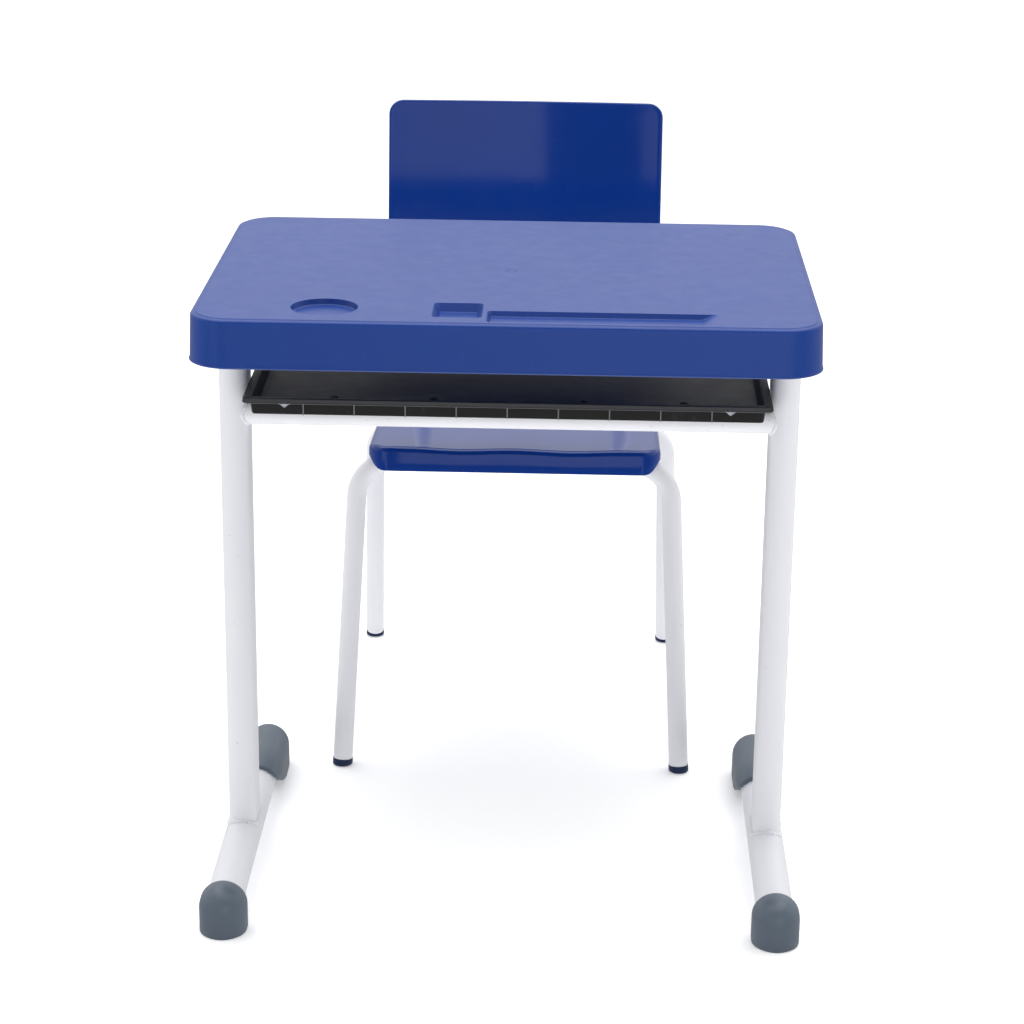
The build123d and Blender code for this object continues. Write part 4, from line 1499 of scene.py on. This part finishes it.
@dataclass
class Backrest:
    """The moulded back: a shell curved in plan, with two sleeves over the tubes."""

    line: ChairLine = field(default_factory=ChairLine)
    width: float = 0.334
    wall: float = 0.0045
    curve: float = 0.500
    top_corner: float = 0.017
    low_corner: float = 0.030
    sleeve: float = 0.0138
    bore: float = 0.01125
    sleeve_low: float = 0.022
    sleeve_high: float = 0.181

    def front_y(self, x: float) -> float:
        """Where the front face lies at a distance from the middle.

        Args:
            x: Across, from the middle.

        Returns:
            The depth of the face there.
        """
        reach = math.sqrt((self.curve + self.wall) ** 2 - self.line.spine_x ** 2)
        centre = -(self.line.tube + 0.0024) - reach
        return centre + math.sqrt(self.curve ** 2 - x ** 2)

    def ring(self, inset: float, deep: float, share: float = 1.0) -> list[Vector]:
        """One ring of the skin: its inset, its depth behind the front face and its share of full size.

        Args:
            inset: How far inside the outline.
            deep: How far behind the front face.
            share: The size of the ring beside the full one.

        Returns:
            The points of the ring.
        """
        half = self.line.back_height / 2
        low, top = self.low_corner - inset, self.top_corner - inset
        points = []
        for x, z in rounded_outline(self.width / 2 - inset, half - inset, (low, top, top, low), 8, 16):
            x, z = x * share, z * share + half
            slant = Vector((x, math.sqrt(self.curve ** 2 - x ** 2))).normalized() * deep
            points.append(self.line.on_back(x + slant.x, self.front_y(x) + slant.y, z))
        return points

    def shell(self) -> bpy.types.Object:
        """Builds the curved plate with its rounded rim.

        Returns:
            The skin.
        """
        shares = [0.08 + 0.075 * step for step in range(12)]
        half = self.wall / 2
        loops = [self.ring(0.006, 0.0, share) for share in shares]
        loops += [self.ring(0.006, 0.0)]
        for step in range(9):
            turn = math.pi * step / 8
            loops.append(self.ring(half * (1 - math.sin(turn)), half * (1 - math.cos(turn))))
        loops += [self.ring(0.006, self.wall)]
        loops += [self.ring(0.006, self.wall, share) for share in reversed(shares)]
        return as_object(loft(loops, Cap.FAN, Cap.FAN), "backrest")

    def sleeve_solid(self, side: int, radius: float, low: float, high: float,
                     edge: float) -> bpy.types.Object:
        """Builds one sleeve, or the tube's hole in it, as a round-ended solid.

        Args:
            side: Left or right.
            radius: The radius of the solid.
            low: The height of its lower end.
            high: The height of its upper end.
            edge: The rounding of both ends.

        Returns:
            The solid.
        """
        rows = []
        for z, r in ((low, radius - edge), (low + edge, radius), (high - edge, radius),
                     (high - edge * 0.3, radius - edge * 0.3), (high, radius - edge)):
            rows.append([self.line.on_back(side * self.line.spine_x + r * math.cos(k * math.tau / 40),
                                           r * math.sin(k * math.tau / 40), z) for k in range(40)])
        return as_object(loft(rows), "sleeve_tool")

    def front_keep(self) -> bpy.types.Object:
        """Builds the tool that keeps the sleeves behind the front face.

        Returns:
            The tool.
        """
        rows = []
        for z in (-0.02, self.line.back_height + 0.02):
            edge = [(x / 1000, self.front_y(x / 1000) + self.wall / 2) for x in range(-160, 161, 8)]
            edge += [(0.160, -0.09), (-0.160, -0.09)]
            rows.append([self.line.on_back(x, y, z) for x, y in edge])
        return as_object(loft(rows), "keep_tool")

    def build(self, shop: Workshop) -> None:
        """Builds the back and hands it over.

        Args:
            shop: The workshop that takes finished pieces.
        """
        back = self.shell()
        for side in (LEFT, RIGHT):
            sleeve = self.sleeve_solid(side, self.sleeve, self.sleeve_low, self.sleeve_high, 0.0022)
            cut(sleeve, self.front_keep(), Cut.REMOVE)
            cut(back, sleeve, Cut.JOIN)
            hole = self.line.back_height - self.line.tube_below_back / math.cos(self.line.lean) + 0.0004
            cut(back, self.sleeve_solid(side, self.bore, -0.03, hole, 0.0002), Cut.REMOVE)
        shade(back, math.radians(35))
        shop.hand_over(back, "chair", "chair_blue", "back_shell")


# ---------------------------------------------------------------- fasteners
@dataclass
class Fasteners:
    """Every screw and rivet of the set."""

    desktop: Desktop
    tray: BookTray
    seat: Seat
    back: Backrest
    rail_low: float = 0.60225
    bar_y: float = 0.182
    bar_rivet_x: tuple[float, ...] = (-0.1785, -0.0765, 0.0765, 0.1785)
    hanger_spot: tuple[float, float] = (0.2614, 0.370)

    def rivet(self, grip: float) -> bpy.types.Object:
        """Builds one pull rivet with its dimpled dome and set tail.

        Args:
            grip: The thickness that the rivet holds.

        Returns:
            The rivet.
        """
        profile = [(0.0, 0.0009), (0.0011, 0.0009), (0.0013, 0.0014), (0.0022, 0.00145), (0.0033, 0.0012),
                   (0.0041, 0.0007), (0.0045, 0.0002), (0.0045, 0.00002), (0.0024, 0.0), (0.0024, -grip),
                   (0.0032, -grip - 0.0004), (0.0034, -grip - 0.0011), (0.0030, -grip - 0.0019),
                   (0.0012, -grip - 0.0022), (0.0, -grip - 0.0022)]
        return as_object(lathe(profile), "rivet")

    def screw(self, head: float, rise: float, shank: float, length: float) -> bpy.types.Object:
        """Builds one pan-head screw with a cross recess.

        Args:
            head: The head's radius.
            rise: The head's height.
            shank: The shank's radius.
            length: The shank's length.

        Returns:
            The screw, seated at the origin with its head up.
        """
        profile = [(0.0, rise), (head * 0.45, rise * 0.99), (head * 0.72, rise * 0.9),
                   (head * 0.9, rise * 0.66), (head * 0.98, rise * 0.36), (head, 0.00025),
                   (head * 0.97, 0.00002), (shank, 0.0), (shank, -length + shank * 0.4),
                   (shank * 0.7, -length), (0.0, -length)]
        made = as_object(lathe(profile), "screw")
        arm, thin = head * 0.55, head * 0.11
        for half_x, half_y in ((arm, thin), (thin, arm)):
            high = [(-half_x, -half_y), (half_x, -half_y), (half_x, half_y), (-half_x, half_y)]
            rows = [[Vector((x * 0.6, y * 0.6, rise * 0.35)) for x, y in high],
                    [Vector((x, y, rise * 1.1)) for x, y in high]]
            cut(made, as_object(loft(rows), "slot_tool"), Cut.REMOVE)
        return made

    def build(self, shop: Workshop) -> None:
        """Sets the screws and rivets and hands each group over.

        Args:
            shop: The workshop that takes finished pieces.
        """
        up, down = Vector((0, 0, 1)), Vector((0, 0, -1))
        floor = self.tray.low_z + self.tray.wall
        spots = [place(x, self.bar_y, floor) for x in self.bar_rivet_x]
        bar = shop.set_fasteners("bar_rivets", self.rivet(0.0041), spots, [up] * 4, "tray_black", 11)
        shop.hand_over(bar, "desk", "tray_black", "tray_bar_rivets")
        spots = [place(side * self.hanger_spot[0], self.hanger_spot[1], self.tray.top_z)
                 for side in (LEFT, RIGHT)]
        hang = shop.set_fasteners("hanger_rivets", self.rivet(0.005), spots, [up] * 2, "rivet_aluminium", 12)
        shop.hand_over(hang, "desk", "rivet_aluminium", "tray_hanger_rivets")
        spots = [place(x, y, self.rail_low) for x, y in self.desktop.screw_spots]
        top = shop.set_fasteners("top_screws", self.screw(0.006, 0.0038, 0.00295, 0.0388), spots, [down] * 6,
                                 "zinc_steel", 13)
        shop.hand_over(top, "desk", "zinc_steel", "desktop_screws")
        shop.hand_over(self.under_seat(shop), "chair", "zinc_steel", "seat_screws")
        shop.hand_over(self.behind_back(shop), "chair", "zinc_steel", "back_screws")

    def under_seat(self, shop: Workshop) -> bpy.types.Object:
        """Sets the four screws that come up through the seat tubes.

        Args:
            shop: The workshop that takes finished pieces.

        Returns:
            The screws as one object.
        """
        line = self.seat.line
        rise = line.seat_front[2] - line.front_tube[1]
        rise -= (line.front_tube[0] - line.seat_front[1]) * line.slope
        low = -(rise * math.cos(math.atan(line.slope)) + line.tube)
        spots, axes = [], []
        for side in (LEFT, RIGHT):
            for y in self.seat.screw_spots:
                spots.append(line.on_seat(side * line.spine_x, y, low))
                axes.append(line.on_seat(0, 0, -1) - line.on_seat(0, 0, 0))
        kind = self.screw(0.0046, 0.0026, 0.00235, 0.0275)
        return shop.set_fasteners("seat_tube_screws", kind, spots, axes, "zinc_steel", 14)

    def behind_back(self, shop: Workshop) -> bpy.types.Object:
        """Sets the four screws that go through the sleeves into the tubes.

        Args:
            shop: The workshop that takes finished pieces.

        Returns:
            The screws as one object.
        """
        line = self.back.line
        spots, axes = [], []
        for side in (LEFT, RIGHT):
            for z in (self.back.sleeve_low + 0.018, self.back.sleeve_high - 0.034):
                spots.append(line.on_back(side * line.spine_x, self.back.sleeve - 0.0008, z))
                axes.append(line.on_back(0, 1, 0) - line.on_back(0, 0, 0))
        return shop.set_fasteners("sleeve_screws", self.screw(0.0044, 0.0024, 0.00235, 0.0068), spots, axes,
                                  "zinc_steel", 15)


# ---------------------------------------------------------------- welds
@dataclass
class Welds:
    """The painted weld beads where one tube meets another."""

    line: ChairLine
    bead: float = 0.0028
    foot_radius: float = 0.01905
    foot_z: float = 0.0265
    column_half: tuple[float, float] = (0.0145, 0.029)
    column_y: float = 0.1946
    bar_radius: float = 0.0127
    bar_place: tuple[float, float] = (0.182, 0.4995)
    rail_radius: float = 0.015875
    rail_z: float = 0.618125

    def run(self, path: Sequence[Vector], seed: float, size: float) -> bpy.types.Object:
        """Builds one closed bead along a path, with the ripples of its puddles.

        Args:
            path: The bead's centre line, closed.
            seed: Shifts the bead's unevenness.
            size: The bead's radius.

        Returns:
            The bead.
        """
        rows = []
        count = len(path)
        centre = sum(path, Vector()) / count
        for index, spot in enumerate(path):
            ahead = (path[(index + 1) % count] - path[index - 1]).normalized()
            out = (spot - centre).normalized()
            side = ahead.cross(out).normalized()
            out = side.cross(ahead).normalized()
            ripple = 1.0 + 0.10 * math.sin(index * math.tau / 4)
            uneven = 1.0 + 0.35 * noise.noise(spot * 90 + Vector((seed, 0, 0)))
            drift = side * 0.0012 * noise.noise(spot * 55 + Vector((0, seed, 0)))
            turns = [k * math.tau / 10 for k in range(10)]
            reach = size * ripple * uneven
            rows.append([spot + drift + (out * math.cos(turn) + side * math.sin(turn)) * reach
                         for turn in turns])
        return as_object(loft(rows, ring=True), "bead")

    def stadium(self, count: int) -> list[tuple[float, float]]:
        """Points evenly spaced round the oblong column's outline, from its middle.

        Args:
            count: How many points.

        Returns:
            The points.
        """
        half_x, half_y = self.column_half
        straight = 2 * (half_y - half_x)
        length = 2 * straight + math.tau * half_x
        points = []
        for index in range(count):
            at = index / count * length
            if at < straight:
                points.append((half_x, -straight / 2 + at))
                continue
            at -= straight
            if at < math.pi * half_x:
                turn = at / half_x
                points.append((half_x * math.cos(turn), straight / 2 + half_x * math.sin(turn)))
                continue
            at -= math.pi * half_x
            if at < straight:
                points.append((-half_x, straight / 2 - at))
                continue
            turn = math.pi + (at - straight) / half_x
            points.append((half_x * math.cos(turn), -straight / 2 + half_x * math.sin(turn)))
        return points

    def column_welds(self, side: int) -> list[bpy.types.Object]:
        """The beads at the foot and head of one column and round its end of the cross bar.

        Args:
            side: Left or right.

        Returns:
            The beads.
        """
        foot, head = [], []
        for x, y in self.stadium(150):
            rise = math.sqrt(self.foot_radius ** 2 - x ** 2)
            foot.append(place(side * SIDE_X + x, self.column_y + y, self.foot_z + rise))
            fall = math.sqrt(self.rail_radius ** 2 - x ** 2)
            head.append(place(side * SIDE_X + x, self.column_y + y, self.rail_z - fall))
        bar = []
        half_x, half_y = self.column_half
        for index in range(90):
            turn = index * math.tau / 90
            y = self.bar_place[0] + self.bar_radius * math.cos(turn)
            past = max(0.0, abs(y - self.column_y) - (half_y - half_x))
            face = math.sqrt(max(0.0, half_x ** 2 - past ** 2))
            bar.append(place(side * (SIDE_X - face), y, self.bar_place[1] + self.bar_radius * math.sin(turn)))
        return [self.run(foot, side * 1.7, self.bead), self.run(head, side * 2.3, self.bead * 0.65),
                self.run(bar, side * 3.1, self.bead * 0.6)]

    def tube_welds(self, side: int) -> list[bpy.types.Object]:
        """The beads where one seat tube meets the front and the rear cross tube.

        Args:
            side: Left or right.

        Returns:
            The beads.
        """
        line = self.line
        x = side * line.spine_x
        front = []
        for index in range(72):
            turn = index * math.tau / 72
            across, up = line.tube * math.cos(turn), line.tube * math.sin(turn)
            ahead = math.sqrt(max(0.0, line.tube ** 2 - up ** 2))
            front.append(place(x + across, line.front_tube[0] + ahead, line.front_tube[1] + up))
        pieces = [self.run(front, side * 4.7, self.bead * 0.75)]
        y, z = line.rear_tube
        for hand in (-1, 1):
            fillet = [place(x + 0.0075 * math.cos(k * math.tau / 40),
                            y + hand * 0.0052 + 0.0016 * math.sin(k * math.tau / 40), z + line.tube - 0.0008)
                      for k in range(40)]
            pieces.append(self.run(fillet, side * hand * 5.9, self.bead * 0.62))
        return pieces

    def build(self, shop: Workshop) -> None:
        """Builds the beads of the desk and of the chair and hands them over.

        Args:
            shop: The workshop that takes finished pieces.
        """
        desk = join([bead for side in (LEFT, RIGHT) for bead in self.column_welds(side)], "desk_welds")
        shop.hand_over(desk, "desk", "frame_white")
        chair = join([bead for side in (LEFT, RIGHT) for bead in self.tube_welds(side)], "chair_welds")
        shop.hand_over(chair, "chair", "frame_white")


# ---------------------------------------------------------------- studio
@dataclass(frozen=True)
class Softbox:
    """A rectangular soft light that faces a target."""

    name: str
    where: Point
    aim: Point
    size: tuple[float, float]
    power: float
    mirrored: bool = True

    def build(self) -> None:
        """Hangs the light, which glossy faces mirror unless it is a plain fill."""
        lamp = bpy.data.lights.new(self.name, "AREA")
        lamp.shape = "RECTANGLE"
        lamp.size, lamp.size_y = self.size
        lamp.energy = self.power
        holder = bpy.data.objects.new(self.name, lamp)
        bpy.context.scene.collection.objects.link(holder)
        holder.visible_glossy = self.mirrored
        way = Vector(self.aim) - Vector(self.where)
        turn = way.to_track_quat("-Z", "Y").to_matrix().to_4x4()
        holder.matrix_world = Matrix.Translation(self.where) @ turn


@dataclass(frozen=True)
class Studio:
    """A white sweep, a surround that is bright behind and dim in front, and a few softboxes."""

    bright: float = 1.07
    dim: float = 0.15
    horizon: float = 0.45
    backdrop: float = 1.05
    front_to_rear: tuple[float, float] = (-0.75, 0.35)
    low_to_high: tuple[float, float] = (0.02, 0.26)
    floor_size: float = 60.0
    floor_glow: float = 0.30
    lights: tuple[Softbox, ...] = (
        Softbox("overhead", (0.0, 0.3, 3.4), (0.0, 0.1, 0.0), (4.6, 4.2), 100.0),
        Softbox("front_panel", (1.36, -4.5, 1.0), (1.36, 0.44, 0.8), (3.82, 2.7), 28.0),
        Softbox("left_panel", (-3.2, -3.4, 1.0), (-0.2, 0.44, 0.8), (1.6, 2.7), 10.0),
        Softbox("fill", (0.2, -3.6, 1.7), (0.0, 0.0, 0.4), (3.5, 2.5), 9.0, mirrored=False),
    )

    def world(self) -> None:
        """Makes the surround, pure white to the eye and darker towards the front and the horizon."""
        world = bpy.data.worlds.new("surround")
        world.use_nodes = True
        bpy.context.scene.world = world
        made = Graph()
        made.tree = world.node_tree
        way = made.node("ShaderNodeTexCoord").outputs["Generated"]
        axes = made.node("ShaderNodeSeparateXYZ", Vector=way)
        level = made.ramp(axes.outputs["Y"], *self.front_to_rear, self.dim, self.bright)
        level.node.interpolation_type = "SMOOTHSTEP"
        rise = made.ramp(axes.outputs["Z"], *self.low_to_high, self.horizon, 1.0)
        seen = made.tree.nodes.new("ShaderNodeMix")
        made.feed(seen.inputs["Factor"], made.node("ShaderNodeLightPath").outputs["Is Camera Ray"])
        made.feed(seen.inputs["A"], made.sum(level, rise, "MULTIPLY"))
        made.feed(seen.inputs["B"], self.backdrop)
        glow = made.tree.nodes["Background"]
        made.feed(glow.inputs["Color"], (1.0, 1.0, 1.0, 1.0))
        made.feed(glow.inputs["Strength"], seen.outputs["Result"])

    def floor(self) -> None:
        """Lays the pale floor."""
        reach = self.floor_size / 2
        corners = [(-reach, -reach), (reach, -reach), (reach, reach), (-reach, reach)]
        mesh = bpy.data.meshes.new("floor")
        mesh.from_pydata([(x, y, -FLOOR_GAP) for x, y in corners], [], [(0, 1, 2, 3)])
        plane = bpy.data.objects.new("floor", mesh)
        bpy.context.scene.collection.objects.link(plane)
        made = Shader("floor_sweep")
        made.surface.inputs["Specular IOR Level"].default_value = 0.1
        made.feed(made.surface.inputs["Base Color"],
                  made.mix(made.grain(3.0), (0.94, 0.94, 0.94, 1.0), (0.97, 0.97, 0.97, 1.0)))
        made.feed(made.surface.inputs["Roughness"], made.ramp(made.grain(40.0), 0.3, 0.7, 0.8, 0.95))
        made.surface.inputs["Emission Color"].default_value = (1.0, 1.0, 1.0, 1.0)
        made.surface.inputs["Emission Strength"].default_value = self.floor_glow
        mesh.materials.append(made.material)
        plane.visible_glossy = False

    def build(self) -> None:
        """Sets up the surround, the floor, the lights and plain colour handling."""
        self.world()
        self.floor()
        for light in self.lights:
            light.build()
        bpy.context.scene.view_settings.view_transform = "Standard"


@dataclass(frozen=True)
class Viewpoint:
    """Where the set is looked at from."""

    where: Point = (0.0689, -2.8849, 1.2936)
    yaw: float = math.radians(-1.40)
    pitch: float = math.radians(18.79)
    roll: float = math.radians(-0.66)
    lens: float = 94.83

    def build(self) -> None:
        """Sets up the camera."""
        ahead = Vector((math.sin(self.yaw) * math.cos(self.pitch), math.cos(self.yaw) * math.cos(self.pitch),
                        -math.sin(self.pitch)))
        right = Vector((math.cos(self.yaw), -math.sin(self.yaw), 0))
        down = ahead.cross(right)
        level = right * math.cos(self.roll) + down * math.sin(self.roll)
        drop = down * math.cos(self.roll) - right * math.sin(self.roll)
        camera = bpy.data.cameras.new("viewpoint")
        camera.lens = self.lens
        holder = bpy.data.objects.new("viewpoint", camera)
        bpy.context.scene.collection.objects.link(holder)
        turn = Matrix((level, -drop, -ahead)).transposed().to_4x4()
        holder.matrix_world = Matrix.Translation(self.where) @ turn
        bpy.context.scene.camera = holder


# ---------------------------------------------------------------- the whole set
def foot_caps() -> Iterable[tuple[FootCap, str, str]]:
    """Lists the four foot caps with their names and CAD nodes.

    Returns:
        Each cap, its name and its node.
    """
    for side, hand in ((LEFT, "left"), (RIGHT, "right")):
        yield FootCap(side, -0.017, 0.017), f"heel_{hand}", f"{hand}_heel_cap"
        yield FootCap(side, 0.4383, 0.303, True), f"toe_{hand}", f"{hand}_toe_cap"


def main() -> None:
    """Builds the studio, every piece of the desk and the chair, and notes the sizes."""
    logging.basicConfig(level=logging.INFO, format="%(message)s")
    Viewpoint().build()
    Studio().build()
    shop = Workshop()
    shop.dress_frame()
    desktop, tray, seat, back = Desktop(), BookTray(), Seat(), Backrest()
    for assembly in (desktop, tray, seat, back, Fasteners(desktop, tray, seat, back), Welds(seat.line)):
        assembly.build(shop)
    for cap, name, node in foot_caps():
        cap.build(shop, name, node)


if __name__ == "__main__":
    main()
